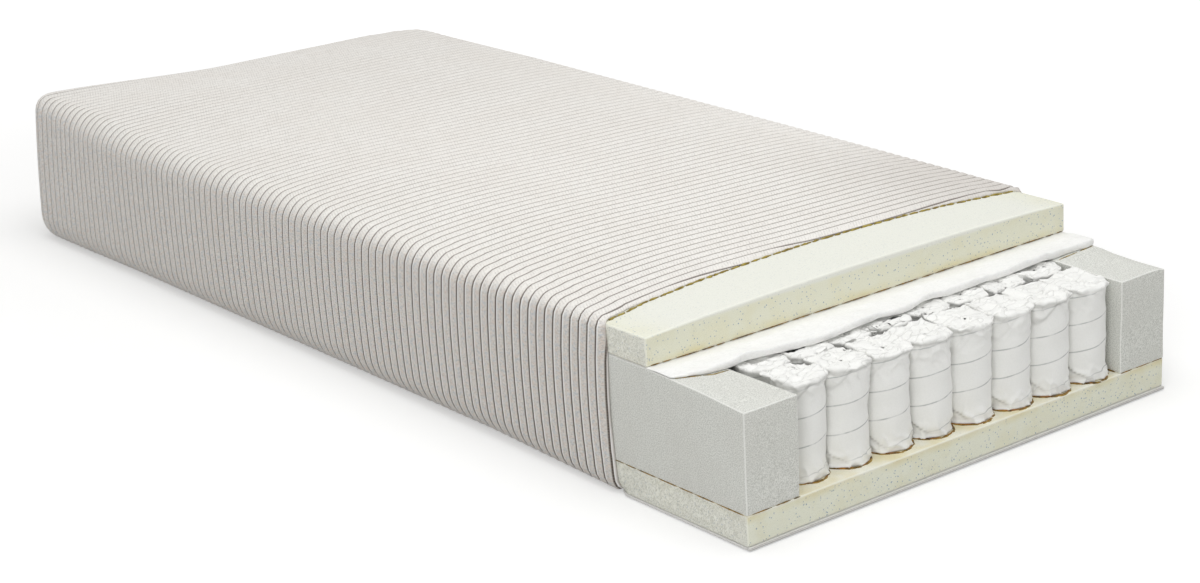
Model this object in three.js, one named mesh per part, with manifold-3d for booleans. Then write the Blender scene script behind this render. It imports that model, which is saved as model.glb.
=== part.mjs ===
// Hybrid mattress, 80 x 190 cm: memory foam over pocket springs in a ribbed knit cover, cut away
// in steps at the foot end to show its layers.
// Millimetres, +Z up. X is the width and Y the length, with the open foot end towards -Y.
// The origin is on the bed, under the middle of the mattress.
import * as THREE from 'three';
import { mergeVertices } from 'three/addons/utils/BufferGeometryUtils.js';
import Module from 'manifold-3d';

const wasm = await Module();
wasm.setup();

// ---------------------------------------------------------------- sizes

const width = 800;
const length = 1900;

// layers, from the bed up
const undersideThickness = 4; // quilted cloth panel
const baseHeight = 42;
const springHeight = 138; // pocket springs, and the foam rails around them
const feltHeight = 8;
const memoryHeight = 42;
const knitThickness = 7;
const gap = 0.3; // glue line, and the clearance of every piece to the next

// cover
const cornerRadius = 55; // upright corners at the head end
const topEdge = { width: 28, height: 28 };
const bottomEdge = { width: 30, height: 45 }; // how far the knit tucks in, and from what height
const seamInset = 40; // from the side of the cover to the seam of the underside panel
const knitCut = 264; // from the foot end to the cut edge of the knit at the sides
const knitCutBow = 39; // how much further back the cut lies in the middle of the top
const knitCutSlant = 9; // how far the cut comes forward at the bed

// foam
const memoryStep = 187; // from the foot end to the front of the memory foam
const foamArris = 3; // softened edge of cut foam
const springBack = 10; // length over which bared foam recovers its square edge
const railWidth = 90;

// felt pad over the springs, its front edge cut by hand
const feltStep = { left: 136, right: 130 }; // from the foot end to the two ends of that edge
const feltDraw = 46; // how far the left part of the edge is drawn forward

// pocket springs
const pocketsAcross = 8;
const rows = 26;
const rowStep = 22; // from the foot end to the front of the first row, at its left end
const rowSkew = 18; // the loose first row stands this much nearer the foot end at its right end
const wellPlayLeft = 14; // free space between the pockets and the left rail
const wellPlayRight = 4;
const pocketWall = 0.8;
const pocketShoulder = 7;
const gatherRadius = 5; // hole in the gathered top of a pocket
const weldAngle = 0.17; // where neighbouring pockets of a string meet, as an angle round each
const wire = 2;
const activeTurns = 3.3;
const coilPlay = 1; // between a coil and its pocket
const turnPlay = 0.5; // between a closed end turn and the next

// ---------------------------------------------------------------- levels and outlines

const foot = -length / 2;
const head = length / 2;
const coreInset = knitThickness + gap;
const coreHalf = width / 2 - coreInset;
const coreHead = head - coreInset;

const baseFloor = undersideThickness + gap;
const springFloor = baseFloor + baseHeight + gap;
const feltFloor = springFloor + springHeight + gap;
const memoryFloor = feltFloor + feltHeight + gap;
const knitCeiling = memoryFloor + memoryHeight + gap;
const height = knitCeiling + knitThickness;

const wellHalf = coreHalf - railWidth;
const wellFoot = foot + rowStep;
const wellHead = coreHead - railWidth;
const rowPitch = (wellHead - gap - wellFoot) / rows;
const pocketPitch = (2 * wellHalf - wellPlayLeft - wellPlayRight) / pocketsAcross;
const weldHalf = (rowPitch / 2 - gap / 2) * Math.sin(weldAngle); // half a string's depth at a weld
const pocketX = (i) => -wellHalf + wellPlayLeft + (i + 0.5) * pocketPitch;
const rowY = (j) => wellFoot + (j + 0.5) * rowPitch;
const frontY = (i) => rowY(0) - (rowSkew * i) / (pocketsAcross - 1);

// ---------------------------------------------------------------- helpers

/** A manifold solid from a closed geometry, for cutting and joining. */
function solid(geometry) {
  const bare = geometry.clone();
  bare.deleteAttribute('normal');
  bare.deleteAttribute('uv');
  const merged = mergeVertices(bare, 1e-4);
  const { position } = merged.attributes;
  return new wasm.Manifold(
    new wasm.Mesh({
      numProp: 3,
      vertProperties: new Float32Array(position.array),
      triVerts: new Uint32Array(merged.index.array),
    }),
  );
}

/** A geometry from a manifold solid. */
function surface(manifold) {
  const { numProp, vertProperties, triVerts } = manifold.getMesh();
  const geometry = new THREE.BufferGeometry();
  const position = new THREE.InterleavedBuffer(vertProperties, numProp);
  geometry.setAttribute('position', new THREE.InterleavedBufferAttribute(position, 3, 0));
  geometry.setIndex(new THREE.BufferAttribute(triVerts, 1));
  const plain = geometry.toNonIndexed();
  plain.computeVertexNormals();
  return plain;
}

/** A box between two corners. */
function block(x0, x1, y0, y1, z0, z1) {
  const box = new THREE.BoxGeometry(x1 - x0, y1 - y0, z1 - z0);
  return solid(box.translate((x0 + x1) / 2, (y0 + y1) / 2, (z0 + z1) / 2));
}

/** A plan outline, drawn in X and Y, raised from z0 to z1. */
function raised(outline, z0, z1, curveSegments = 12) {
  const prism = new THREE.ExtrudeGeometry(outline, {
    depth: z1 - z0,
    bevelEnabled: false,
    curveSegments,
  });
  return prism.translate(0, 0, z0);
}

/** A side outline, drawn in Y and Z, carried across the width from x0 to x1. */
function acrossWidth(outline, x0, x1) {
  const prism = new THREE.ExtrudeGeometry(outline, { depth: x1 - x0, bevelEnabled: false });
  // the shape's x runs along Y, its y along Z, and its depth along X
  const turn = new THREE.Matrix4().makeBasis(
    new THREE.Vector3(0, 1, 0),
    new THREE.Vector3(0, 0, 1),
    new THREE.Vector3(1, 0, 0),
  );
  return prism.applyMatrix4(turn).translate(x0, 0, 0);
}

/** A loft along Y through outlines of as many points each, drawn in X and Z. */
function loft(stations) {
  const count = stations[0].points.length;
  const position = stations.flatMap(({ y, points }) => points.flatMap((p) => [p.x, y, p.y]));
  const index = [];
  for (let s = 0; s + 1 < stations.length; s++) {
    for (let i = 0; i < count; i++) {
      const a = s * count + i;
      const b = s * count + ((i + 1) % count);
      index.push(a, b, b + count, a, b + count, a + count);
    }
  }
  const last = (stations.length - 1) * count;
  for (const [a, b, c] of THREE.ShapeUtils.triangulateShape(stations[0].points, [])) {
    index.push(a, c, b, last + a, last + b, last + c);
  }
  const geometry = new THREE.BufferGeometry();
  geometry.setAttribute('position', new THREE.Float32BufferAttribute(position, 3));
  geometry.setIndex(index.reverse());
  return geometry;
}

// ---------------------------------------------------------------- the soft block

const EDGE_STEPS = 4;

/** Plan outline with rounded corners at the head end. It runs past the foot end. */
function headOutline(inset) {
  const half = width / 2 - inset;
  const end = head - inset;
  const r = Math.max(cornerRadius - inset, 1);
  const outline = new THREE.Shape();
  outline.moveTo(-half, 2 * foot);
  outline.lineTo(half, 2 * foot);
  outline.lineTo(half, end - r);
  outline.absarc(half - r, end - r, r, 0, Math.PI / 2);
  outline.lineTo(-half + r, end);
  outline.absarc(-half + r, end - r, r, Math.PI / 2, Math.PI);
  outline.closePath();
  return outline;
}

/** The mattress's outer form, drawn in by an inset, with its two horizontal edges rounded. */
function softBlock(inset, z0, z1, top, bottom) {
  const overrun = height;
  const rounded = (edge, low, high) => {
    const body = new THREE.ExtrudeGeometry(headOutline(inset), {
      depth: high - low - 2 * edge.height,
      bevelThickness: edge.height,
      bevelSize: edge.width,
      bevelOffset: -edge.width,
      bevelSegments: EDGE_STEPS,
      curveSegments: 5,
    });
    return solid(body.translate(0, 0, low + edge.height));
  };
  return rounded(top, z0 - overrun, z1).intersect(rounded(bottom, z0, z1 + overrun));
}

/** An edge rounding as it is a given depth further in. */
const further = (edge, across, down) => ({
  width: edge.width - across,
  height: edge.height - down,
});

// the tuck of the knit thins out towards its seam, so its inside rounds over a little wider
const tuckThinning = 4;
const coreTop = further(topEdge, coreInset, coreInset);
const coreBottom = further(bottomEdge, coreInset - tuckThinning, baseFloor);

/** Section of the core in X and Z, with elliptic corners between cut foam and its covered form. */
function coreSection(covered) {
  const blend = (bare, full) => bare + (full - bare) * covered;
  const top = new THREE.Vector2(
    blend(foamArris, coreTop.width),
    blend(foamArris, coreTop.height),
  );
  const bottom = new THREE.Vector2(
    blend(foamArris, coreBottom.width),
    blend(foamArris, coreBottom.height),
  );
  const z0 = baseFloor;
  const z1 = knitCeiling - gap;
  const corners = [
    [coreHalf - bottom.x, z0 + bottom.y, bottom, -Math.PI / 2],
    [coreHalf - top.x, z1 - top.y, top, 0],
    [-coreHalf + top.x, z1 - top.y, top, Math.PI / 2],
    [-coreHalf + bottom.x, z0 + bottom.y, bottom, Math.PI],
  ];
  return corners.flatMap(([x, z, r, from]) =>
    Array.from({ length: EDGE_STEPS + 1 }, (_, k) => {
      const a = from + (k / EDGE_STEPS) * (Math.PI / 2);
      return new THREE.Vector2(x + r.x * Math.cos(a), z + r.y * Math.sin(a));
    }),
  );
}

/**
 * Everything inside the cover: the form that the stretched knit presses the foam into, and, where
 * the knit is cut away, the foam's own square edges, which spring back in front of the cut.
 */
function coreEnvelope() {
  const pressedFrom = foot + knitCut - knitCutSlant;
  const eases = [0, 0.3, 1];
  const stations = [{ y: foot, points: coreSection(0) }];
  for (const [k, ease] of eases.entries()) {
    const y = pressedFrom - springBack * (1 - k / (eases.length - 1));
    stations.push({ y, points: coreSection(ease) });
  }
  stations.push({ y: pressedFrom + 1, points: coreSection(1) });
  const covered = softBlock(coreInset, baseFloor, knitCeiling - gap, coreTop, coreBottom)
    .intersect(block(-width, width, pressedFrom, length, -height, 2 * height));
  return solid(loft(stations)).add(covered);
}

const core = coreEnvelope();

/** A piece of the core between two heights, from y0 back to the head end. */
function layer(z0, z1, y0, x0 = -width, x1 = width, y1 = length) {
  return core.intersect(block(x0, x1, y0, y1, z0, z1));
}

// ---------------------------------------------------------------- cover

/** The ribbed knit: one skin over the top, sides and head, tucked under to its seam. */
function knit() {
  const outside = softBlock(0, 0, height, topEdge, bottomEdge);
  const inside = softBlock(
    knitThickness,
    undersideThickness,
    knitCeiling,
    further(topEdge, knitThickness, knitThickness),
    further(bottomEdge, knitThickness - tuckThinning, undersideThickness),
  );
  const seam = solid(raised(headOutline(seamInset), -1, undersideThickness + 1));

  // the side of the cut: upright above, then slanting forward to the bed
  const side = new THREE.Shape();
  const cut = foot + knitCut;
  side.moveTo(3 * foot, -1);
  side.lineTo(cut - knitCutSlant, -1);
  side.lineTo(cut, height * 0.45);
  side.lineTo(cut, height + 1);
  side.lineTo(3 * foot, height + 1);
  side.closePath();
  const away = solid(acrossWidth(side, -width, width));

  // the cut bows back over the top, from one side of the foam to the other
  const bow = new THREE.Shape();
  const depth = cut + knitCutBow / 0.75;
  bow.moveTo(-coreHalf, cut);
  bow.lineTo(-coreHalf, cut - knitCutSlant);
  bow.lineTo(coreHalf, cut - knitCutSlant);
  bow.lineTo(coreHalf, cut);
  bow.bezierCurveTo(0.85 * coreHalf, depth, -0.85 * coreHalf, depth, -coreHalf, cut);
  const arch = solid(raised(bow, height / 2, height + 1, 14));

  return outside.subtract(inside).subtract(seam).subtract(away).subtract(arch);
}

/** The underside panel: inside the knit's seam, and as wide as the foam where the knit is gone. */
function undersidePanel() {
  const seam = width / 2 - seamInset - gap;
  const step = foot + knitCut - knitCutSlant - gap - 1;
  const end = head - seamInset - gap;
  const r = Math.max(cornerRadius - seamInset - gap, 1);
  const outline = new THREE.Shape();
  outline.moveTo(-coreHalf, foot);
  outline.lineTo(coreHalf, foot);
  outline.lineTo(coreHalf, step);
  outline.lineTo(seam, step);
  outline.lineTo(seam, end - r);
  outline.absarc(seam - r, end - r, r, 0, Math.PI / 2);
  outline.lineTo(-seam + r, end);
  outline.absarc(-seam + r, end - r, r, Math.PI / 2, Math.PI);
  outline.lineTo(-seam, step);
  outline.lineTo(-coreHalf, step);
  outline.closePath();
  return raised(outline, 0, undersideThickness, 6);
}

// ---------------------------------------------------------------- felt and rails

/** The felt pad, with a soft rounded lip along its front edge. */
function felt() {
  const lip = feltHeight / 2;
  const outline = new THREE.Shape();
  outline.moveTo(-width, head);
  outline.lineTo(-width, foot + feltStep.left);
  outline.lineTo(-coreHalf, foot + feltStep.left);
  outline.bezierCurveTo(
    -0.75 * coreHalf,
    foot + feltStep.left - feltDraw,
    0.15 * coreHalf,
    foot + feltStep.right,
    coreHalf,
    foot + feltStep.right,
  );
  outline.lineTo(width, foot + feltStep.right);
  outline.lineTo(width, head);
  outline.closePath();
  const pad = new THREE.ExtrudeGeometry(outline, {
    depth: 0.02,
    bevelThickness: lip,
    bevelSize: lip,
    bevelOffset: -lip,
    bevelSegments: 3,
    curveSegments: 14,
  });
  return solid(pad.translate(0, 0, feltFloor + lip)).intersect(
    layer(feltFloor, feltFloor + feltHeight, foot),
  );
}

const springTop = springFloor + springHeight;
const sideRail = (side) =>
  layer(
    springFloor,
    springTop,
    foot,
    side < 0 ? -width : wellHalf,
    side < 0 ? -wellHalf : width,
  );
const headRail = () =>
  layer(springFloor, springTop, wellHead, -wellHalf + gap, wellHalf - gap);

// ---------------------------------------------------------------- pocket springs

/** A string of cloth pockets in plan: a lobe for each spring, welded to the next at the waist. */
function stringOutline() {
  const half = pocketPitch / 2;
  const rx = half / Math.cos(weldAngle);
  const ry = rowPitch / 2 - gap / 2;
  const outline = new THREE.Shape();
  outline.moveTo(pocketX(0) - half, -weldHalf);
  for (let i = 0; i < pocketsAcross; i++) {
    outline.absellipse(pocketX(i), 0, rx, ry, Math.PI + weldAngle, 2 * Math.PI - weldAngle);
  }
  for (let i = pocketsAcross - 1; i >= 0; i--) {
    outline.absellipse(pocketX(i), 0, rx, ry, weldAngle, Math.PI - weldAngle);
  }
  outline.closePath();
  return outline;
}

/** The same string drawn with straight sides, for the rows that are shut in under the felt. */
function plainStringOutline() {
  const ry = rowPitch / 2 - gap / 2;
  const facet = 0.27 * pocketPitch;
  const outline = new THREE.Shape();
  outline.moveTo(pocketX(0) - pocketPitch / 2, -weldHalf);
  for (let i = 0; i < pocketsAcross; i++) {
    outline.lineTo(pocketX(i) - facet, -ry);
    outline.lineTo(pocketX(i) + facet, -ry);
    outline.lineTo(pocketX(i) + pocketPitch / 2, -weldHalf);
  }
  for (let i = pocketsAcross - 1; i >= 0; i--) {
    outline.lineTo(pocketX(i) + pocketPitch / 2, weldHalf);
    outline.lineTo(pocketX(i) + facet, ry);
    outline.lineTo(pocketX(i) - facet, ry);
  }
  outline.lineTo(pocketX(0) - pocketPitch / 2, weldHalf);
  outline.closePath();
  return outline;
}

/** The second row of pockets, filled, with the softened shoulders that show beside the felt. */
function shownString() {
  const soft = pocketShoulder;
  const drawnIn = Math.min(soft / 2, 0.65 * weldHalf);
  const geometry = new THREE.ExtrudeGeometry(stringOutline(), {
    depth: springHeight - 2 * soft,
    bevelThickness: soft,
    bevelSize: drawnIn,
    bevelOffset: -drawnIn,
    bevelSegments: 1,
    curveSegments: 4,
  });
  return geometry.translate(0, 0, soft);
}

const pocketRadiusX = pocketPitch / 2 - gap / 2;
const pocketRadiusY = rowPitch / 2 - gap / 2;

/** One cloth pocket of the front row, thin-walled, its top gathered round a small hole. */
function pocket() {
  const r = Math.min(pocketRadiusX, pocketRadiusY);
  const s = pocketShoulder;
  const t = pocketWall;
  const skin = (inset) => {
    const side = r - inset;
    const bend = s - inset;
    return [
      [side - 0.3 * bend, inset],
      [side, inset + 0.4 * bend],
      [side - 0.6, springHeight * 0.5],
      [side, springHeight - s],
      [side - 0.3 * bend, springHeight - inset - 0.3 * bend],
      [side - bend, springHeight - inset],
    ];
  };
  const points = [
    [0, 0],
    ...skin(0),
    [gatherRadius, springHeight - 1.5],
    [gatherRadius, springHeight - 1.5 - t],
    ...skin(t).reverse(),
    [0, t],
  ];
  const turned = new THREE.LatheGeometry(points.map(([x, y]) => new THREE.Vector2(x, y)), 15);
  return turned.rotateX(Math.PI / 2).scale(pocketRadiusX / r, pocketRadiusY / r, 1);
}

/** The centre line of a coil spring with a closed turn at each end, standing on z = 0. */
class CoilPath extends THREE.Curve {
  constructor(radius, freeHeight) {
    super();
    this.radius = radius;
    this.closed = wire + turnPlay;
    this.rise = freeHeight - wire - 2 * this.closed;
    this.turns = activeTurns + 2;
  }

  getPoint(t, target = new THREE.Vector3()) {
    const turn = t * this.turns;
    const low = Math.min(turn, 1);
    const high = Math.max(turn - 1 - activeTurns, 0);
    const active = turn - low - high;
    const z = wire / 2 + this.closed * (low + high) + this.rise * (active / activeTurns);
    const a = 2 * Math.PI * turn;
    // the end turns are wound a little tighter, so that they nest clear of the cloth
    const tight = Math.max(0, 1 - Math.min(turn, this.turns - turn)) ** 2;
    const r = this.radius * (1 - 0.12 * tight);
    return target.set(r * Math.cos(a), r * Math.sin(a), z);
  }
}

/** The steel coil inside a pocket. */
function coilSpring() {
  const inner = Math.min(pocketRadiusX, pocketRadiusY) - 0.6 - pocketWall - coilPlay;
  const path = new CoilPath(inner - wire / 2, springHeight - 2 * pocketWall - 2 * coilPlay);
  const section = new THREE.Shape();
  const sides = 4;
  for (let i = 0; i < sides; i++) {
    const a = (i / sides) * 2 * Math.PI;
    section[i ? 'lineTo' : 'moveTo']((wire / 2) * Math.cos(a), (wire / 2) * Math.sin(a));
  }
  section.closePath();
  const steps = Math.round(path.turns * 10);
  const coil = new THREE.ExtrudeGeometry(section, { steps, extrudePath: path });
  return coil.translate(0, 0, pocketWall + coilPlay);
}

// ---------------------------------------------------------------- materials

const cloth = (colour, roughness) => () =>
  new THREE.MeshStandardMaterial({ color: colour, roughness, metalness: 0 });
const knitMaterial = cloth('#d9d5cf', 0.95);
const panelMaterial = cloth('#e6e5e2', 0.9);
const memoryMaterial = cloth('#e9e9da', 0.9);
const baseMaterial = cloth('#dfdfc8', 0.9);
const feltMaterial = cloth('#f1f1ee', 1);
const railMaterial = cloth('#c9cac4', 0.92);
const pocketMaterial = cloth('#e6e7e7', 0.85);
const steelMaterial = () =>
  new THREE.MeshStandardMaterial({ color: '#9a9c9e', roughness: 0.35, metalness: 0.9 });

// ---------------------------------------------------------------- assembly

const mattress = new THREE.Group();
mattress.name = 'mattress';

function place(name, geometry, material, x = 0, y = 0, z = 0, parent = mattress) {
  const mesh = new THREE.Mesh(geometry, material());
  mesh.name = name;
  mesh.position.set(x, y, z);
  parent.add(mesh);
  return mesh;
}

place('cover_knit', surface(knit()), knitMaterial);
place('cover_underside', undersidePanel(), panelMaterial);
place('base_foam', surface(layer(baseFloor, baseFloor + baseHeight, foot)), baseMaterial);
place('side_rail_left', surface(sideRail(-1)), railMaterial);
place('side_rail_right', surface(sideRail(1)), railMaterial);
place('head_rail', surface(headRail()), railMaterial);
place('felt_pad', surface(felt()), feltMaterial);
const memory = layer(memoryFloor, memoryFloor + memoryHeight, foot + memoryStep);
place('memory_foam_layer', surface(memory), memoryMaterial);

// the bared front row, each spring free to be pressed down by itself
const pocketForm = pocket();
const coilForm = coilSpring();
for (let i = 0; i < pocketsAcross; i++) {
  const unit = new THREE.Group();
  unit.position.set(pocketX(i), frontY(i), springFloor);
  mattress.add(unit);
  place(`pocket_${i + 1}`, pocketForm, pocketMaterial, 0, 0, 0, unit);
  place(`coil_spring_${i + 1}`, coilForm, steelMaterial, 0, 0, 0, unit);
}

// the rows behind, glued up under the felt
const secondString = shownString();
const hiddenString = raised(plainStringOutline(), 0, springHeight);
for (let j = 1; j < rows; j++) {
  const name = `spring_string_${String(j + 1).padStart(2, '0')}`;
  place(name, j === 1 ? secondString : hiddenString, pocketMaterial, 0, rowY(j), springFloor);
}

export default mattress;
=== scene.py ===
"""A hybrid mattress, cut away in steps at the foot end: a ribbed knit cover over memory foam, a felt
pad, one layer of pocket springs between foam rails, a base foam and a quilted underside panel."""
import math
import random

import bpy
import numpy as np
from bpy.props import FloatProperty, FloatVectorProperty, IntProperty, PointerProperty
from mathutils import Matrix, Vector


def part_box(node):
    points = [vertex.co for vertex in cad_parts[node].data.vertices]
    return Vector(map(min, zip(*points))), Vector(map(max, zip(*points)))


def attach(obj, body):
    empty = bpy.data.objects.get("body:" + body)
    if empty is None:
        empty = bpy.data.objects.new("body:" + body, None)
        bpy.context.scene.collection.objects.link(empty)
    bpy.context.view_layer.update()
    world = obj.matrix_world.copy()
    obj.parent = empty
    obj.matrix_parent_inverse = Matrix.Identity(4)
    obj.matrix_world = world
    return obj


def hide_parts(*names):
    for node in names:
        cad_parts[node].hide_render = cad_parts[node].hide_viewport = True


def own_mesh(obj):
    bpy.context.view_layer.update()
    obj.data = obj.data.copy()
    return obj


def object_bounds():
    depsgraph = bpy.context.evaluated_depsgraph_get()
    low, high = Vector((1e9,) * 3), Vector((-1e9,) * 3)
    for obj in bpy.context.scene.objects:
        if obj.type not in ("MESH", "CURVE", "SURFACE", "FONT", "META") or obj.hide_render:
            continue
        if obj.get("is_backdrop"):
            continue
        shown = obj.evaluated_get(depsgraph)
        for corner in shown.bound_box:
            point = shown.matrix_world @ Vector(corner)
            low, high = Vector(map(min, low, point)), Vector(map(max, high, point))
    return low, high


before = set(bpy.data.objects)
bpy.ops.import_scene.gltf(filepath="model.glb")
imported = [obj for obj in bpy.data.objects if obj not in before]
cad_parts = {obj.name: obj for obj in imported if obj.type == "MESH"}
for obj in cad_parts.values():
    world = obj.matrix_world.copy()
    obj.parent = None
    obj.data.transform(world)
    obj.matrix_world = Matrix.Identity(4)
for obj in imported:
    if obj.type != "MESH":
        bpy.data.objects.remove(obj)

bl_info = {
    "name": "Cut-away Mattress",
    "version": (1, 0, 0),
    "blender": (4, 5, 0),
    "location": "View3D > Sidebar > Mattress",
    "description": "Builds the soft pieces and finishes of a cut-away pocket spring mattress",
    "category": "Add Mesh",
}

MM = 0.001

# ---------------------------------------------------------------- places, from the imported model

CAD_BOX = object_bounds()
KNIT_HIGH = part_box("cover_knit")[1]
BASE_LOW, BASE_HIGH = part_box("base_foam")
MEMORY_LOW, MEMORY_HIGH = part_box("memory_foam_layer")
RAIL_LOW, RAIL_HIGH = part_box("side_rail_left")

HALF = KNIT_HIGH.x  # half the mattress's width
HEAD = KNIT_HIGH.y  # y of the head end
FOOT = BASE_LOW.y  # y of the foot end
HEIGHT = KNIT_HIGH.z
CORE_HALF = BASE_HIGH.x  # half the width of the foam inside the cover
SPRING_FLOOR = RAIL_LOW.z
SPRING_TOP = RAIL_HIGH.z
WELL_HALF = -RAIL_HIGH.x  # half the width between the side rails
POCKETS = 8  # in each row
CLEAR = 0.2 * MM  # how much a pocket stays inside its place on each side
WIRE_START = 49 * MM  # height at which a coil's wire crosses the right side of its pocket
WIRE_RISE = 40 * MM  # how far the wire climbs in a turn
FELT_FRONT = -0.826  # y of the felt's front edge, on the whole

RAIL_RISE = 9.2 * MM  # the most that the left rail stands up under the felt
FOAM_RISE = 2 * MM  # how much of that still shows in the memory foam over it

EDGE = 60 * MM  # how far in from the sharp box the rounding of the cover reaches
HALVINGS = 26  # of a ray, to find where it meets the cover to within 0.02 micrometres
HEAD_SKEW = 42 * MM  # the head end lies this much nearer the foot at its right corner
SEAM_X = HALF - 40 * MM  # where the knit is sewn to the underside
SEAM_Y = HEAD - 40 * MM
CUT_Y = -0.686  # where the knit is cut, at the sides
TUCK = 3  # columns of the cover between its seam and the lower edge of its side


def linear(code):
    """A colour written as an sRGB hex code, as linear RGBA."""
    parts = [int(code[i : i + 2], 16) / 255 for i in (1, 3, 5)]
    return [c / 12.92 if c <= 0.04045 else ((c + 0.055) / 1.055) ** 2.4 for c in parts] + [1.0]


def colour(name, description, code):
    """A colour that a user can change."""
    return FloatVectorProperty(
        name=name, description=description, subtype="COLOR", size=4, min=0, max=1,
        default=linear(code),
    )


def size(name, description, default):
    """A length that a user can change."""
    return FloatProperty(
        name=name, description=description, default=default, unit="LENGTH", precision=4
    )


class KnitCoverSettings(bpy.types.PropertyGroup):
    """Sizes and yarn of the knit cover"""

    rib_pitch: size("Rib pitch", "Distance from one quilted groove to the next", 17.7 * MM)
    rib_depth: size("Rib depth", "Depth of a groove under the ridges beside it", 3.2 * MM)
    thickness: size("Thickness", "Thickness of the knit with its padding", 7 * MM)
    crown: size("Crown", "How much higher the middle of the top is than its sides", 8.5 * MM)
    stitch: size("Stitch length", "Distance between stitches in a groove", 3.8 * MM)
    yarn: colour("Yarn", "Main colour of the heathered yarn", "#F0EDE8")
    fleck: colour("Fleck", "Colour of the dark flecks in the yarn", "#A59F97")


class FoamSettings(bpy.types.PropertyGroup):
    """Colours and edges of the foams"""

    memory: colour("Memory foam", "Skin side of the memory foam", "#EDEEE5")
    memory_cut: colour("Memory foam, cut", "Cut front of the memory foam", "#EAEAD7")
    base: colour("Base foam, cut", "Cut front of the base foam", "#F0F1E0")
    rail: colour("Rail foam", "Colour of the foam rails", "#E6E7E1")
    speck: colour("Speck", "Colour of the specks of gel in the foams", "#8DA0B2")
    stain: colour("Glue stain", "Colour that the glue gives the foam beside it", "#DDCE8E")
    arris: size("Arris", "Radius of a cut edge", 2.2 * MM)


class SpringSettings(bpy.types.PropertyGroup):
    """Wire and cloth of the pocket springs, and the felt on them"""

    cloth: colour("Pocket cloth", "Colour of the pockets' spunbond cloth", "#F3F3F0")
    felt: colour("Felt", "Colour of the felt pad", "#F5F5F3")
    wire: size("Wire", "Diameter of the spring wire", 2 * MM)
    turns: FloatProperty(name="Turns", description="Active turns of a coil", default=3.3)
    cloth_wall: size("Cloth wall", "Thickness of the pockets' cloth", 0.8 * MM)
    seed: IntProperty(name="Seed", description="Choice of creases", default=7)


class StageSettings(bpy.types.PropertyGroup):
    """Floor and camera"""

    floor: colour("Floor", "Colour of the floor", "#D6D6D5")
    lens: FloatProperty(name="Lens", description="Focal length in mm", default=79.51)


SETTINGS = {
    "mattress_knit": KnitCoverSettings,
    "mattress_foam": FoamSettings,
    "mattress_springs": SpringSettings,
    "mattress_stage": StageSettings,
}


def settings(name):
    """One group of the scene's settings: knit, foam, springs or stage."""
    return getattr(bpy.context.scene, "mattress_" + name)


# ---------------------------------------------------------------- noise and meshes


def smooth_step(x, low=0.0, high=1.0):
    """0 at low and 1 at high, with a smooth rise (or fall, where high is the lower) between."""
    t = np.clip((x - low) / (high - low), 0, 1)
    return t * t * (3 - 2 * t)


def value_noise(points, grain, seed=0):
    """Smooth noise from -1 to 1, with lumps of about the grain's size."""
    p = np.asarray(points, float) / grain
    cell = np.floor(p).astype(np.int64)
    f = p - cell
    w = f * f * (3 - 2 * f)
    total = 0.0
    for dx in (0, 1):
        for dy in (0, 1):
            for dz in (0, 1):
                n = (cell[..., 0] + dx) * 73856093 ^ (cell[..., 1] + dy) * 19349663
                n = n ^ (cell[..., 2] + dz) * 83492791 ^ (seed * 40503 + 977)
                n = (n ^ (n >> 13)) * 1274126177 & 0x7FFFFFFF
                h = ((n ^ (n >> 15)) & 0xFFFF) / 32767.5 - 1
                share = np.where(dx, w[..., 0], 1 - w[..., 0])
                share = share * np.where(dy, w[..., 1], 1 - w[..., 1])
                total = total + h * share * np.where(dz, w[..., 2], 1 - w[..., 2])
    return total


def ridges(points, grain, seed=0):
    """Noise from 0 to 1 with sharp ridges, like creased cloth."""
    return 1 - np.abs(value_noise(points, grain, seed))


def make_object(name, points, faces, uv=None, layers=None, material=None):
    """A smooth mesh object at the origin, with an optional UV map and point attributes."""
    points = np.asarray(points, float)
    mesh = bpy.data.meshes.new(name)
    mesh.from_pydata(points.tolist(), [], [list(map(int, f)) for f in faces])
    if uv is not None:
        loops = np.zeros(len(mesh.loops), np.int32)
        mesh.loops.foreach_get("vertex_index", loops)
        layer = mesh.uv_layers.new(name="cloth")
        layer.data.foreach_set("uv", np.asarray(uv, np.float32)[loops].ravel())
    for key, values in (layers or {}).items():
        values = np.asarray(values, np.float32)
        kind, field = ("FLOAT_VECTOR", "vector") if values.ndim == 2 else ("FLOAT", "value")
        mesh.attributes.new(key, kind, "POINT").data.foreach_set(field, values.ravel())
    mesh.polygons.foreach_set("use_smooth", [True] * len(mesh.polygons))
    mesh.update()
    obj = bpy.data.objects.new(name, mesh)
    bpy.context.scene.collection.objects.link(obj)
    if material:
        mesh.materials.append(material)
    return obj


def volume(points, faces):
    """Signed volume of a closed mesh, from fans over its faces."""
    total = 0.0
    for f in faces:
        a = points[f[0]]
        for b, c in zip(f[1:-1], f[2:]):
            total += np.dot(a, np.cross(points[b], points[c]))
    return total / 6


def facing_out(points, faces):
    """The faces of a closed mesh, turned if need be so that they point outwards."""
    return [list(f)[::-1] for f in faces] if volume(points, faces) < 0 else faces


def placed(piece, body, node):
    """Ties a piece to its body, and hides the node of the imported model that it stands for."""
    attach(piece, body)
    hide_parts(node)


# ---------------------------------------------------------------- node helpers

MATH = "ShaderNodeMath"
MIX = "ShaderNodeMix"
NOISE = "ShaderNodeTexNoise"
RANGE = "ShaderNodeMapRange"
SPLIT = "ShaderNodeSeparateXYZ"
JOIN = "ShaderNodeCombineXYZ"
VECTOR = "ShaderNodeVectorMath"
COORDS = "ShaderNodeTexCoord"
MAPPING = "ShaderNodeMapping"
ATTRIBUTE = "ShaderNodeAttribute"
BUMP = "ShaderNodeBump"
NAMED = "GeometryNodeInputNamedAttribute"
MOVE = "GeometryNodeSetPosition"
SOFT = {"interpolation_type": "SMOOTHSTEP"}


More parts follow.
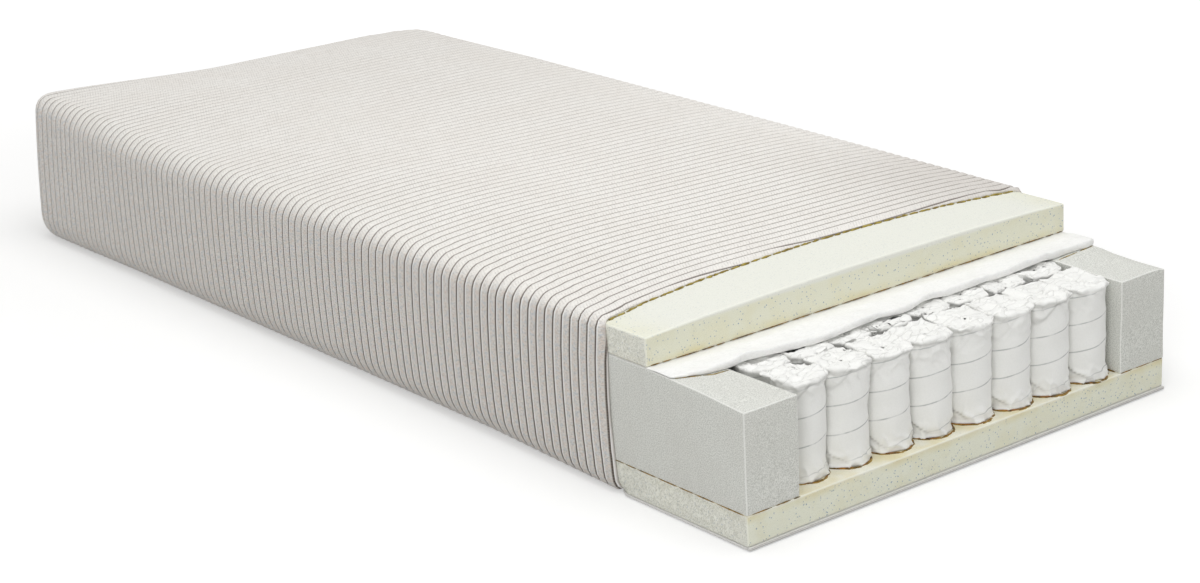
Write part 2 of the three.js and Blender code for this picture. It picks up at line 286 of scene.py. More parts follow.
def add(tree, kind, inputs=(), out=0, **options):
    """Adds a node with its options and its inputs, each a value or the socket that feeds it, and
    gives one of its outputs."""
    made = tree.nodes.new(kind)
    for key, value in options.items():
        setattr(made, key, value)
    for key, value in inputs.items() if isinstance(inputs, dict) else enumerate(inputs):
        if isinstance(value, bpy.types.NodeSocket):
            tree.links.new(value, made.inputs[key])
        elif value is not None:
            made.inputs[key].default_value = value
    return made.outputs[out] if len(made.outputs) else None


def off_middle(tree, share):
    """How far a share from 0 to 1 is from one half."""
    share = add(tree, MATH, [share, 0.5], operation="SUBTRACT")
    return add(tree, MATH, [share], operation="ABSOLUTE")


def geometry_tree(name, sockets):
    """An empty Geometry Nodes tree with named inputs. Returns it with its input and output nodes."""
    tree = bpy.data.node_groups.new(name, "GeometryNodeTree")
    for label, kind in sockets:
        tree.interface.new_socket(name=label, in_out="INPUT", socket_type="NodeSocket" + kind)
    tree.interface.new_socket(name="Geometry", in_out="OUTPUT", socket_type="NodeSocketGeometry")
    return tree, tree.nodes.new("NodeGroupInput"), tree.nodes.new("NodeGroupOutput")


def finish_tree(tree, geometry, entry, leave):
    """Ends a tree in real geometry, shaded smooth, with the tree's own material."""
    real = add(tree, "GeometryNodeRealizeInstances", [geometry])
    soft = add(tree, "GeometryNodeSetShadeSmooth", [real])
    done = add(tree, "GeometryNodeSetMaterial", {0: soft, "Material": entry.outputs["Material"]})
    tree.links.new(done, leave.inputs[0])


def grown(obj, tree, values):
    """Runs a Geometry Nodes tree on an object and leaves the result as its plain mesh."""
    modifier = obj.modifiers.new("grow", "NODES")
    modifier.node_group = tree
    for item in tree.interface.items_tree:
        if item.item_type == "SOCKET" and item.in_out == "INPUT" and item.name in values:
            modifier[item.identifier] = values[item.name]
    bpy.context.view_layer.update()
    depsgraph = bpy.context.evaluated_depsgraph_get()
    mesh = bpy.data.meshes.new_from_object(
        obj.evaluated_get(depsgraph), preserve_all_data_layers=True, depsgraph=depsgraph
    )
    obj.modifiers.clear()
    obj.data = mesh
    mesh.name = obj.name
    return obj


def empty_object(name):
    """A mesh object with nothing in it, for a tree that makes its own geometry."""
    return make_object(name, np.zeros((0, 3)), [])


# ---------------------------------------------------------------- materials


def new_material(name, roughness, **shader):
    """A material with a Principled shader, whose other values are set on its own sockets."""
    material = bpy.data.materials.new(name)
    material.use_nodes = True
    tree = material.node_tree
    tree.nodes.clear()
    surface = add(tree, "ShaderNodeBsdfPrincipled", {"Roughness": roughness}).node
    for key, value in shader.items():
        surface.inputs[key.replace("_", " ")].default_value = value
    add(tree, "ShaderNodeOutputMaterial", {"Surface": surface.outputs[0]})
    return material, tree, surface


def painted(tree, surface, ground, coats):
    """Lays coats of colour over a ground, each (mask, colour), and gives the shader the result. A mix
    node of colours takes its two colours at inputs 6 and 7 and gives the result at output 2."""
    for mask, tone in coats:
        tone = linear(tone) if isinstance(tone, str) else tone
        ground = add(tree, MIX, {0: mask, 6: ground, 7: tone}, 2, data_type="RGBA")
    tree.links.new(ground, surface.inputs["Base Color"])


def heather(tree, knit, cloth, place, side):
    """The mixed yarn of the knit: its fine grain, where flecks show and their colour, and where warm
    and cool mottles show."""
    # flecks of 2 mm, drawn out along the ribs, cool and warm
    drawn = add(tree, MAPPING, {"Vector": cloth, "Scale": (1.0, 0.55, 1.0)})
    fine = add(tree, NOISE, {"Vector": drawn, "Scale": 1 / (1.9 * MM), "Detail": 3, "Roughness": 0.65})
    strength = add(tree, RANGE, [side, 0, 1, 0.25, 0.52])
    flecked = add(tree, RANGE, [fine, 0.54, 0.36], **SOFT)
    flecked = add(tree, MATH, [flecked, strength], operation="MULTIPLY")
    tint = add(tree, NOISE, {"Vector": place, "Scale": 1 / (3.2 * MM)})
    tint = add(tree, RANGE, [tint, 0.42, 0.58], **SOFT)
    fleck = add(tree, MIX, {0: tint, 6: linear("#9DA3A8"), 7: list(knit.fleck)}, 2, data_type="RGBA")
    # mottles of warm and of cool yarn, 5 mm wide, that show where the knit is stretched
    mottle = add(tree, NOISE, {"Vector": drawn, "Scale": 1 / (5 * MM), "Detail": 2, "Roughness": 0.7})
    warm = add(tree, RANGE, [mottle, 0.52, 0.62, 0, 0.6], **SOFT)
    warm = add(tree, MATH, [warm, side], operation="MULTIPLY")
    cool = add(tree, RANGE, [mottle, 0.48, 0.38, 0, 0.6], **SOFT)
    cool = add(tree, MATH, [cool, side], operation="MULTIPLY")
    return fine, flecked, fleck, warm, cool


def knit_material(knit):
    """Heathered polyester knit quilted to a wadding: matt, with a faint bloom at grazing angles,
    flecked with darker yarn, and with a stitched groove between its ribs."""
    material, tree, surface = new_material(
        "heathered_polyester_knit_quilted", 0.9, Sheen_Weight=0.12, Sheen_Roughness=0.5,
        Specular_IOR_Level=0.25,
    )
    cloth = add(tree, "ShaderNodeUVMap", uv_map="cloth")
    place = add(tree, COORDS, out="Object")
    across = add(tree, SPLIT, [cloth])
    along = across.node.outputs[1]
    side = add(tree, ATTRIBUTE, out="Fac", attribute_name="side")
    # the groove between two ribs, wider on the sides, and the seam sewn along its bottom
    ribs = add(tree, MATH, [along, knit.rib_pitch], operation="DIVIDE")
    ribs = add(tree, MATH, [ribs], operation="FRACT")
    off_ridge = off_middle(tree, ribs)
    off_ridge = add(tree, MATH, [side, 0.018, off_ridge], operation="MULTIPLY_ADD")
    groove = add(tree, RANGE, [off_ridge, 0.39, 0.47], **SOFT)
    seam = add(tree, RANGE, [off_ridge, 0.44, 0.48], **SOFT)
    # the painted light and shade on the sides is strongest near the cut, at y = -0.55 m, and softer
    # toward the head
    x, y = add(tree, SPLIT, [place]).node.outputs[:2]
    fade = add(tree, RANGE, [y, -0.55, 0.8, 0.95, 0.4])
    painted_rib_light = add(tree, MATH, [side, fade], operation="MULTIPLY")
    # on the sides each rib has a painted highlight along its groove toward the foot, and painted shade
    # away from it
    dull = add(tree, RANGE, [ribs, 0.88, 0.5], **SOFT)
    dull = add(tree, MATH, [dull, painted_rib_light], operation="MULTIPLY")
    rim = add(tree, RANGE, [ribs, 0.66, 0.76], **SOFT)
    rim = add(tree, MATH, [rim, painted_rib_light], operation="MULTIPLY")
    # the stitches of that seam
    beat = add(tree, MATH, [across, 2 * math.pi / knit.stitch], operation="MULTIPLY")
    beat = add(tree, MATH, [beat], operation="SINE")
    beat = add(tree, RANGE, [beat, -0.5, 0.6], **SOFT)
    stitch = add(tree, MATH, [seam, beat], operation="MULTIPLY")
    # the knit's diagonal, 5 mm apart: coarser than its 1 mm courses, so that it shows
    lean = add(tree, MATH, [along, 0.5], operation="MULTIPLY")
    lean = add(tree, MATH, [across, lean], operation="SUBTRACT")
    lean = add(tree, MATH, [lean, 2 * math.pi / (5 * MM)], operation="MULTIPLY")
    dash = add(tree, MATH, [lean], operation="SINE")
    dash = add(tree, RANGE, [dash, -0.2, 1.0], **SOFT)
    broken = add(tree, NOISE, {"Vector": place, "Scale": 1 / (9 * MM)})
    broken = add(tree, RANGE, [broken, 0.3, 0.7], **SOFT)
    dash = add(tree, MATH, [dash, broken], operation="MULTIPLY")
    fine, flecked, fleck, warm, cool = heather(tree, knit, cloth, place, side)
    # toward the cut corner at the right, painted shade makes the knit darker and greyer
    thin = add(tree, RANGE, [x, 0.1, HALF, 0, 0.55], **SOFT)
    thin = add(tree, MATH, [thin, add(tree, RANGE, [y, -0.2, -0.6], **SOFT)], operation="MULTIPLY")
    drift = add(tree, NOISE, {"Vector": place, "Scale": 1 / (90 * MM)})
    drift = add(tree, RANGE, [drift, 0.35, 0.65, 0, 0.1], **SOFT)
    frayed = add(tree, ATTRIBUTE, out="Fac", attribute_name="cut")
    frayed = add(tree, MATH, [frayed, 0.6], operation="MULTIPLY")
    faint = add(tree, RANGE, [side, 0, 1, 0.42, 0.25])
    faint = add(tree, MATH, [dash, faint], operation="MULTIPLY")
    # painted shade in the grooves and in the stitch holes along their bottom
    deep = add(tree, RANGE, [side, 0, 1, 0.82, fade])
    deep = add(tree, MATH, [groove, deep], operation="MULTIPLY")
    dark = add(tree, RANGE, [side, 0, 1, 0.5, fade])
    dark = add(tree, MATH, [stitch, dark], operation="MULTIPLY")
    # the flank, corner, rim, groove and stitch coats below are painted shade and a painted highlight
    painted(tree, surface, list(knit.yarn), (
        (side, "#FAF7F2"), (dull, "#DDD8D2"), (warm, "#DDCEC3"), (cool, "#C6CCD2"),
        (flecked, fleck), (faint, "#B9B4AD"), (drift, "#D9D0C6"), (thin, "#C4BEB8"),
        (rim, "#FFFEFC"), (deep, "#776D65"), (dark, "#3F3833"), (frayed, "#B0A8A1"),
    ))
    relief = add(tree, MATH, [fine, dash], operation="SUBTRACT")
    relief = add(tree, MATH, [stitch, -2.4, relief], operation="MULTIPLY_ADD")
    relief = add(tree, BUMP, {"Height": relief, "Distance": 0.15 * MM})
    tree.links.new(relief, surface.inputs["Normal"])
    return material


def foam_material(name, foam, skin, cut, cut_band, stain_band):
    """Polyurethane foam with gel specks: dull and fine-celled, yellower where the knife went. A band
    is (object axis, from, to), in metres, and its mask rises from the first to the second."""
    material, tree, surface = new_material(name, 0.95, Specular_IOR_Level=0.2)
    place = add(tree, COORDS, out="Object")
    axes = add(tree, SPLIT, [place]).node.outputs
    opened = add(tree, RANGE, [axes[cut_band[0]], *cut_band[1:]], **SOFT)
    soaked = add(tree, RANGE, [axes[stain_band[0]], *stain_band[1:]], **SOFT)
    cells = add(tree, NOISE, {"Vector": place, "Scale": 1 / (1.3 * MM), "Detail": 3, "Roughness": 0.7})
    blotch = add(tree, NOISE, {"Vector": place, "Scale": 1 / (38 * MM), "Detail": 3})
    blotch = add(tree, RANGE, [blotch, 0.42, 0.66, 0, 0.26], **SOFT)
    pool = add(tree, NOISE, {"Vector": place, "Scale": 1 / (55 * MM), "Detail": 3})
    veins = add(tree, NOISE, {"Vector": place, "Scale": 1 / (5.5 * MM), "Detail": 2, "Distortion": 1.6})
    facing = add(tree, SPLIT, [add(tree, "ShaderNodeNewGeometry", out="Normal")])
    torn = add(tree, MATH, [facing], operation="ABSOLUTE")
    torn = add(tree, RANGE, [torn, 0.75, 0.95], **SOFT)
    veins = off_middle(tree, veins)
    veins = add(tree, RANGE, [veins, 0.06, 0.0, 0.0, 0.45], **SOFT)
    veins = add(tree, MATH, [veins, torn], operation="MULTIPLY")
    ground = add(tree, MIX, {0: opened, 6: skin, 7: cut}, 2, data_type="RGBA")
    coats = [
        (add(tree, MATH, [blotch, opened], operation="MULTIPLY"), "#E4DEB8"),
        (add(tree, RANGE, [cells, 0.55, 0.3, 0, 0.2], **SOFT), "#A3A28E"),
        (add(tree, MATH, [torn, 0.75], operation="MULTIPLY"), "#F9F9F1"), (veins, "#A9A994"),
    ]
    shown = add(tree, RANGE, [opened, 0, 1, 0.22, 0.85])
    hidden = add(tree, RANGE, [torn, 0.0, 1.0, 1.0, 0.4])
    shown = add(tree, MATH, [shown, hidden], operation="MULTIPLY")
    ragged = add(tree, NOISE, {"Vector": place, "Scale": 1 / (1.5 * MM), "Detail": 1})
    for spacing, radius, rare, tone in (
        (7.5 * MM, 0.15, 0.3, list(foam.speck)),
        (5 * MM, 0.19, 0.35, "#A6B1BC"),
        (30 * MM, 0.06, 0.55, "#4F7F94"),
    ):
        dots = add(tree, "ShaderNodeTexVoronoi", {"Vector": place, "Scale": 1 / spacing}).node
        chance = add(tree, "ShaderNodeSeparateColor", [dots.outputs["Color"]])
        kept = add(tree, MATH, [chance, rare], operation="GREATER_THAN")
        kept = add(tree, MATH, [kept, shown], operation="MULTIPLY")
        reach = add(tree, MATH, [ragged, 0.08, dots.outputs["Distance"]], operation="MULTIPLY_ADD")
        spot = add(tree, RANGE, [reach, radius * 1.5, radius * 0.9], **SOFT)
        coats.append((add(tree, MATH, [spot, kept], operation="MULTIPLY"), tone))
    pool = add(tree, RANGE, [pool, 0.36, 0.66, 0.12, 0.6], **SOFT)
    dry = add(tree, RANGE, [torn, 0.0, 1.0, 1.0, 0.15])
    pool = add(tree, MATH, [pool, dry], operation="MULTIPLY")
    coats.append((add(tree, MATH, [pool, soaked], operation="MULTIPLY"), list(foam.stain)))
    # painted highlight along the rounded edges
    arris = add(tree, ATTRIBUTE, out="Fac", attribute_name="arris")
    coats.append((add(tree, MATH, [arris, 0.5], operation="MULTIPLY"), "#F8F8EE"))
    painted(tree, surface, ground, coats)
    relief = add(tree, MATH, [veins, -1.5, cells], operation="MULTIPLY_ADD")
    relief = add(tree, BUMP, {"Height": relief, "Distance": 0.7 * MM, "Strength": 0.8})
    tree.links.new(relief, surface.inputs["Normal"])
    return material


def rail_material(foam):
    """High-resilience polyurethane foam, sawn: dull grey with an open grain."""
    material, tree, surface = new_material("polyurethane_foam_sawn", 0.95, Specular_IOR_Level=0.2)
    place = add(tree, COORDS, out="Object")
    cells = add(tree, NOISE, {"Vector": place, "Scale": 1 / (1.7 * MM), "Detail": 3, "Roughness": 0.7})
    arris = add(tree, ATTRIBUTE, out="Fac", attribute_name="arris")
    upright = add(tree, MAPPING, {"Vector": place, "Scale": (1.0, 1.0, 0.35)})
    streak = add(tree, NOISE, {"Vector": upright, "Scale": 1 / (6 * MM)})
    drift = add(tree, NOISE, {"Vector": place, "Scale": 1 / (70 * MM)})
    painted(tree, surface, list(foam.rail), (
        (add(tree, RANGE, [cells, 0.56, 0.40, 0, 0.5], **SOFT), "#A6A7A0"),
        (add(tree, RANGE, [cells, 0.58, 0.68, 0, 0.7], **SOFT), "#F8F8F5"),
        (add(tree, RANGE, [streak, 0.4, 0.7, 0, 0.1], **SOFT), "#BFC0B8"),
        (add(tree, RANGE, [drift, 0.35, 0.7, 0, 0.12], **SOFT), "#C9C5BE"),
        # painted highlight along the rounded edges
        (add(tree, MATH, [arris, 0.6], operation="MULTIPLY"), "#F8F8F4"),
    ))
    relief = add(tree, BUMP, {"Height": cells, "Distance": 0.8 * MM, "Strength": 0.8})
    tree.links.new(relief, surface.inputs["Normal"])
    return material


def felt_material(springs):
    """Needled polyester felt: bright white fibre, soft and hairless, with shallow needle dents."""
    material, tree, surface = new_material(
        "needled_polyester_felt", 0.95, Sheen_Weight=0.15, Sheen_Roughness=0.6,
        Specular_IOR_Level=0.2,
    )
    place = add(tree, COORDS, out="Object")
    drawn = add(tree, MAPPING, {"Vector": place, "Scale": (0.5, 1.0, 1.0)})
    fibre = add(tree, NOISE, {"Vector": drawn, "Scale": 1 / (2.6 * MM), "Detail": 4, "Roughness": 0.7})
    loft = add(tree, NOISE, {"Vector": place, "Scale": 1 / (18 * MM)})
    painted(tree, surface, list(springs.felt), (
        (add(tree, RANGE, [fibre, 0.55, 0.3, 0, 0.22], **SOFT), "#C9CAC8"),
        (add(tree, RANGE, [loft, 0.4, 0.7, 0, 0.1], **SOFT), "#DAD9D4"),
    ))
    relief = add(tree, MATH, [fibre, 0.4, loft], operation="MULTIPLY_ADD")
    relief = add(tree, BUMP, {"Height": relief, "Distance": 0.9 * MM, "Strength": 0.6})
    tree.links.new(relief, surface.inputs["Normal"])
    return material


def pocket_material(springs):
    """Spunbond polypropylene: thin bright nonwoven with a fine bonded grain and a weak gloss, through
    which the wire shows as a thin grey line that climbs to the right."""
    material, tree, surface = new_material(
        "spunbond_polypropylene_cloth", 0.62, Sheen_Weight=0.08, Specular_IOR_Level=0.35
    )
    place = add(tree, COORDS, out="Object")
    cloth = add(tree, "ShaderNodeUVMap", uv_map="cloth")
    round_it = add(tree, SPLIT, [cloth])  # turns round the pocket, and turns of the wire
    climb = add(tree, MATH, [round_it.node.outputs[1], round_it], operation="SUBTRACT")
    climb = add(tree, MATH, [climb], operation="FRACT")
    wire = off_middle(tree, climb)
    wire = add(tree, RANGE, [wire, 0.034, 0.010], **SOFT)
    shown = add(tree, ATTRIBUTE, out="Fac", attribute_name="wire")
    uneven = add(tree, NOISE, {"Vector": place, "Scale": 1 / (17 * MM)})
    uneven = add(tree, RANGE, [uneven, 0.3, 0.6, 0.25, 0.7], **SOFT)
    line = add(tree, MATH, [wire, shown], operation="MULTIPLY")
    line = add(tree, MATH, [line, uneven], operation="MULTIPLY")
    fibre = add(tree, NOISE, {"Vector": place, "Scale": 1 / (2.2 * MM), "Detail": 3, "Roughness": 0.7})
    # painted shade along the pockets' folds, the groove under the rim and the dart's crease
    fold_shade = add(tree, ATTRIBUTE, out="Fac", attribute_name="fold_shade")
    fold_shade = add(tree, MATH, [fold_shade, 0.75], operation="MULTIPLY", use_clamp=True)
    # the crumpled top: creases where a bent noise passes through its middle value
    top = add(tree, ATTRIBUTE, out="Fac", attribute_name="top")
    drawn = add(tree, MAPPING, {"Vector": place, "Scale": (0.7, 1.3, 1.0)})
    bent = add(tree, NOISE, {"Vector": drawn, "Scale": 1 / (19 * MM), "Detail": 0, "Distortion": 0.6})
    bent = off_middle(tree, bent)
    pinched = add(tree, RANGE, [bent, 0.03, 0.0], **SOFT)
    pinched = add(tree, MATH, [pinched, top], operation="MULTIPLY")
    shade = add(tree, MATH, [pinched, 0.3], operation="MULTIPLY")
    painted(tree, surface, list(springs.cloth), (
        (add(tree, RANGE, [fibre, 0.6, 0.3, 0, 0.1], **SOFT), "#C9CAC7"),
        (line, "#A6A8A7"),
        (shade, "#8B8A84"),
        (fold_shade, "#85847E"),
    ))
    crease = add(tree, NOISE, {"Vector": place, "Scale": 1 / (9 * MM), "Detail": 1})
    relief = add(tree, MATH, [fibre, 0.12, crease], operation="MULTIPLY_ADD")
    bent = add(tree, RANGE, [bent, 0.0, 0.12, -2.4, 0.0])
    bent = add(tree, MATH, [bent, top], operation="MULTIPLY")
    relief = add(tree, MATH, [relief, bent], operation="ADD")
    relief = add(tree, BUMP, {"Height": relief, "Distance": 0.8 * MM, "Strength": 0.45})
    tree.links.new(relief, surface.inputs["Normal"])
    return material


def underside_material():
    """Woven polyester ticking, quilted: off-white, with grey selvedge lines along its front edge."""
    material, tree, surface = new_material("woven_polyester_ticking", 0.9, Specular_IOR_Level=0.2)
    place = add(tree, COORDS, out="Object")
    axes = add(tree, SPLIT, [place]).node.outputs
    weave = 1.0
    for axis in (axes[0], axes[1]):  # threads 1.6 mm apart, coarser than real ones
        thread = add(tree, MATH, [axis, 2 * math.pi / (1.6 * MM)], operation="MULTIPLY")
        thread = add(tree, MATH, [thread], operation="SINE")
        weave = add(tree, MATH, [thread, weave], operation="MULTIPLY")
    grain = add(tree, NOISE, {"Vector": place, "Scale": 1 / (4 * MM), "Detail": 3})
    rows = add(tree, MATH, [axes[2], 1.7 * MM], operation="DIVIDE")
    rows = add(tree, MATH, [rows], operation="FRACT")
    rows = off_middle(tree, rows)
    rows = add(tree, RANGE, [rows, 0.30, 0.44], **SOFT)
    front = add(tree, RANGE, [axes[1], FOOT + 4 * MM, FOOT + 1 * MM], **SOFT)
    painted(tree, surface, linear("#ECEBE8"), (
        (add(tree, RANGE, [grain, 0.6, 0.3, 0, 0.25], **SOFT), "#C9C7C2"),
        (add(tree, MATH, [rows, front], operation="MULTIPLY"), "#B4B2AF"),
    ))
    relief = add(tree, BUMP, {"Height": weave, "Distance": 0.25 * MM})
    tree.links.new(relief, surface.inputs["Normal"])
    return material


def glue_material():
    """Dried hot-melt glue: amber to dark brown, a little glossy where it stands proud. At its darkest
    it is painted shadow under the left of each front pocket's foot.
    """
    material, tree, surface = new_material("hot_melt_glue_dried", 0.45)
    place = add(tree, COORDS, out="Object")
    pool = add(tree, NOISE, {"Vector": place, "Scale": 1 / (9 * MM), "Detail": 3, "Roughness": 0.6})
    pool = add(tree, RANGE, [pool, 0.35, 0.65], **SOFT)
    dark = add(tree, ATTRIBUTE, out="Fac", attribute_name="dark")
    amber = {0: pool, 6: linear("#74611A"), 7: linear("#A8963E")}
    brown = {0: pool, 6: linear("#3B240A"), 7: linear("#9A6420")}
    amber = add(tree, MIX, amber, 2, data_type="RGBA")
    brown = add(tree, MIX, brown, 2, data_type="RGBA")
    painted(tree, surface, amber, ((dark, brown),))
    relief = add(tree, BUMP, {"Height": pool, "Distance": 0.5 * MM})
    tree.links.new(relief, surface.inputs["Normal"])
    return material


def wire_material():
    """Drawn high-carbon steel wire: mid-grey metal with fine lengthwise die marks."""
    material, tree, surface = new_material("drawn_spring_steel_wire", 0.34, Metallic=1.0)
    place = add(tree, COORDS, out="Object")
    drawn = add(tree, MAPPING, {"Vector": place, "Scale": (0.3, 0.3, 2.0)})
    marks = add(tree, NOISE, {"Vector": drawn, "Scale": 1 / (1.2 * MM), "Detail": 3})
    painted(tree, surface, linear("#8E9194"), (
        (add(tree, RANGE, [marks, 0.3, 0.7], **SOFT), "#B4B6B8"),
    ))
    rough = add(tree, RANGE, [marks, 0.3, 0.7, 0.26, 0.42])
    tree.links.new(rough, surface.inputs["Roughness"])
    relief = add(tree, BUMP, {"Height": marks, "Distance": 0.05 * MM})
    tree.links.new(relief, surface.inputs["Normal"])
    return material


# ---------------------------------------------------------------- the cover's shape


def crowned(x, y, height):
    """How much the stuffing lifts the top at a place: most in the middle, less at the left side than
    at the right, and sunk between the two corners of the head."""
    across = 1 - np.abs(np.clip(x / CORE_HALF, -1, 1)) ** 2.5
    along = 1 - 1.1 * smooth_step(y, HEAD - 0.25, HEAD)
    right = np.interp(y, [CUT_Y, -0.4, 0.0, 0.5, 0.85, HEAD], [0, 0.35, 0.6, 0.85, 0.5, -0.9])
    left = 1.6 * smooth_step(y, HEAD - 0.45, HEAD - 0.05) * smooth_step(-x, 0.0, HALF - 0.03)
    return height * (across * along + right * smooth_step(x, -0.15, HALF) + left)


def plan_distance(x, y, half):
    """Distance outwards from the cover's outline in plan, whose head corners are round."""
    corner = np.where(x < 0, 46 * MM, 90 * MM)
    qx = np.abs(x) - half + corner
    qy = y - HEAD + HEAD_SKEW * (x / HALF + 1) / 2 + corner
    return np.hypot(np.maximum(qx, 0), np.maximum(qy, 0)) + np.minimum(np.maximum(qx, qy), 0) - corner


def rounded(a, b, radius):
    """Distance outwards from a corner between two faces, rounded, where a and b are the distances
    past the places where the rounding starts."""
    past = np.hypot(np.maximum(a, 0), np.maximum(b, 0))
    return past + np.minimum(np.maximum(a, b), 0) - radius


def cover_field(p, crown):
    """Roughly the distance from the stretched cover's outer face, negative inside it."""
    x, y, z = p[..., 0], p[..., 1], np.clip(p[..., 2], 0, HEIGHT)
    half = HALF - 1.5 * MM + 2.5 * MM * (1 - (z / (HEIGHT / 2) - 1) ** 2)
    # the left corner of the head leans in: narrower at its top than at its foot
    lean = smooth_step(y, HEAD - 0.4, HEAD - 0.04) * (x < 0)
    half = half - lean * (13 * MM * z / HEIGHT - 5 * MM)
    plan = plan_distance(x, y, half)
    radius = MM * np.interp(y, [CUT_Y, -0.6, -0.45, 0.2, 0.75, 0.93], [13, 20, 28, 34, 40, 24])
    radius = radius * (1 - 0.45 * smooth_step(x, -0.1, 0.25))
    high = HEIGHT + crowned(x, y, crown)
    top = rounded(plan + radius, p[..., 2] - high + radius, radius)
    wide = MM * np.interp(y, [CUT_Y, -0.4], [15, 30])
    tall = MM * np.interp(y, [CUT_Y, -0.4], [22, 45])
    foot = rounded(plan / wide + 1, 1 - p[..., 2] / tall, 1) * wide
    return np.maximum(top, foot)


def inner_point(p):
    """The nearest place in the box that lies inside all the cover's rounding."""
    c = p.copy()
    c[..., 0] = np.clip(p[..., 0], -HALF + EDGE, HALF - EDGE)
    c[..., 1] = np.minimum(p[..., 1], HEAD - EDGE)
    c[..., 2] = np.clip(p[..., 2], EDGE, HEIGHT - EDGE)
    return c


def reached(start, ray, reach, depth, crown):
    """Goes along rays, no farther than reach, until they are as deep under the cover's face as
    depth."""
    low, high = np.zeros(ray.shape[:-1]), np.broadcast_to(reach, ray.shape[:-1]).copy()
    for _ in range(HALVINGS):
        middle = (low + high) / 2
        inside = cover_field(start + ray * middle[..., None], crown) < -depth
        low, high = np.where(inside, middle, low), np.where(inside, high, middle)
    return start + ray * ((low + high) / 2)[..., None]


def onto_cover(q, crown):
    """Points of the sharp box, moved along rays from inside it onto the cover's face."""
    start = inner_point(q)
    ray = q - start
    ray /= np.linalg.norm(ray, axis=-1, keepdims=True)
    return reached(start, ray, 140 * MM, 0.0, crown)


def outward(p, crown):
    """The direction in which the cover's face looks at points on it."""
    step = 1.5 * MM
    n = np.stack(
        [cover_field(p + s, crown) - cover_field(p - s, crown) for s in np.eye(3) * step], -1
    )
    return n / np.maximum(np.linalg.norm(n, axis=-1, keepdims=True), 1e-9)


def tucked_in(p, crown, margin=7.5 * MM):
    """Foam pressed in under the cover, wherever the cover goes round it."""
    start = inner_point(p)
    ray = p - start
    pressed = reached(start, ray, 1.0, margin, crown)
    free = cover_field(p, crown) < -margin
    share = np.where(free, 0, smooth_step(p[:, 1], CUT_Y - 12 * MM, CUT_Y))
    return p + (pressed - p) * share[:, None]


def fan(count):
    """Fractions from 0 to 1 that look evenly spread round a rounded edge."""
    return 1 - np.tan(np.linspace(math.pi / 4, 0, count + 1))


# ---------------------------------------------------------------- foam blocks


def ticks(low, high, edge, cells, rounds=3):
    """Places along a side of a block, close together at its rounded ends."""
    near = edge * fan(rounds)
    return np.concatenate(
        [low + near[:-1], np.linspace(low + edge, high - edge, cells + 1), high - near[-2::-1]]
    )


def block(axes, edge):
    """The skin of a box with rounded edges as a lattice of quads: points, share of the way from
    the low to the high corner, and faces."""
    counts = [len(a) for a in axes]
    at = np.indices(counts)
    skin = np.zeros(counts, bool)
    for axis in range(3):
        skin |= (at[axis] == 0) | (at[axis] == counts[axis] - 1)
    index = np.full(counts, -1)
    index[skin] = np.arange(skin.sum())
    p = np.stack([np.asarray(axes[k])[at[k][skin]] for k in range(3)], -1)
    low, high = np.array([a[0] for a in axes]), np.array([a[-1] for a in axes])
    share = (p - low) / (high - low)
    centre = np.clip(p, low + edge, high - edge)
    ray = p - centre
    p = centre + ray / np.linalg.norm(ray, axis=-1, keepdims=True) * edge
    faces = []
    for axis in range(3):
        for end in (0, counts[axis] - 1):
            s = np.take(index, end, axis=axis)
            quads = np.stack([s[:-1, :-1], s[1:, :-1], s[1:, 1:], s[:-1, 1:]], -1).reshape(-1, 4)
            faces += (quads[:, ::-1] if (end == 0) != (axis == 1) else quads).tolist()
    return p, share, faces


def rise(x, y):
    """How far the left rail stands up under the felt, most at its outer edge."""
    along = np.interp(
        y,
        [FOOT, -0.867, -0.822, -0.797, -0.769, -0.6, -0.4],
        [0, 6 * MM, 7.7 * MM, 8.3 * MM, RAIL_RISE, RAIL_RISE, 0],
    )
    return along * np.clip((-WELL_HALF - x) / (CORE_HALF - WELL_HALF), 0, 1)


def foam_block(name, low, high, cells, material, shape=None, edge=None):
    """A slab of foam with softened edges, shaped, and pressed in where the cover goes round it."""
    edge = edge or settings("foam").arris
    p, share, faces = block([ticks(*side, edge, n) for *side, n in zip(low, high, cells)], edge)
    # a painted highlight where the rounding of an edge is
    inner = np.array(high) - np.array(low)
    near = (np.minimum(share, 1 - share) * inner < edge * 0.95).sum(axis=1) > 1
    if shape:
        p = shape(p, share)
    p = tucked_in(p, settings("knit").crown)
    return make_object(name, p, faces, layers={"arris": near * 1.0}, material=material)


def rippled(p, share, axis, amount, grain, seed):
    """Moves the faces of a block along an axis by a little noise, as a saw leaves them."""
    lean = (2 * share[:, axis] - 1) ** 15
    p = p.copy()
    p[:, axis] += amount * lean * value_noise(p, grain, seed)
    return p


# ---------------------------------------------------------------- operators: knit and underside


def round_square(turn):
    """A ray turning past a square's corner: how far out it has come, and how much is left."""
    out = np.tan(np.minimum(turn, math.pi / 4))
    left = np.tan(math.pi / 2 - np.maximum(turn, math.pi / 4))
    return out, left


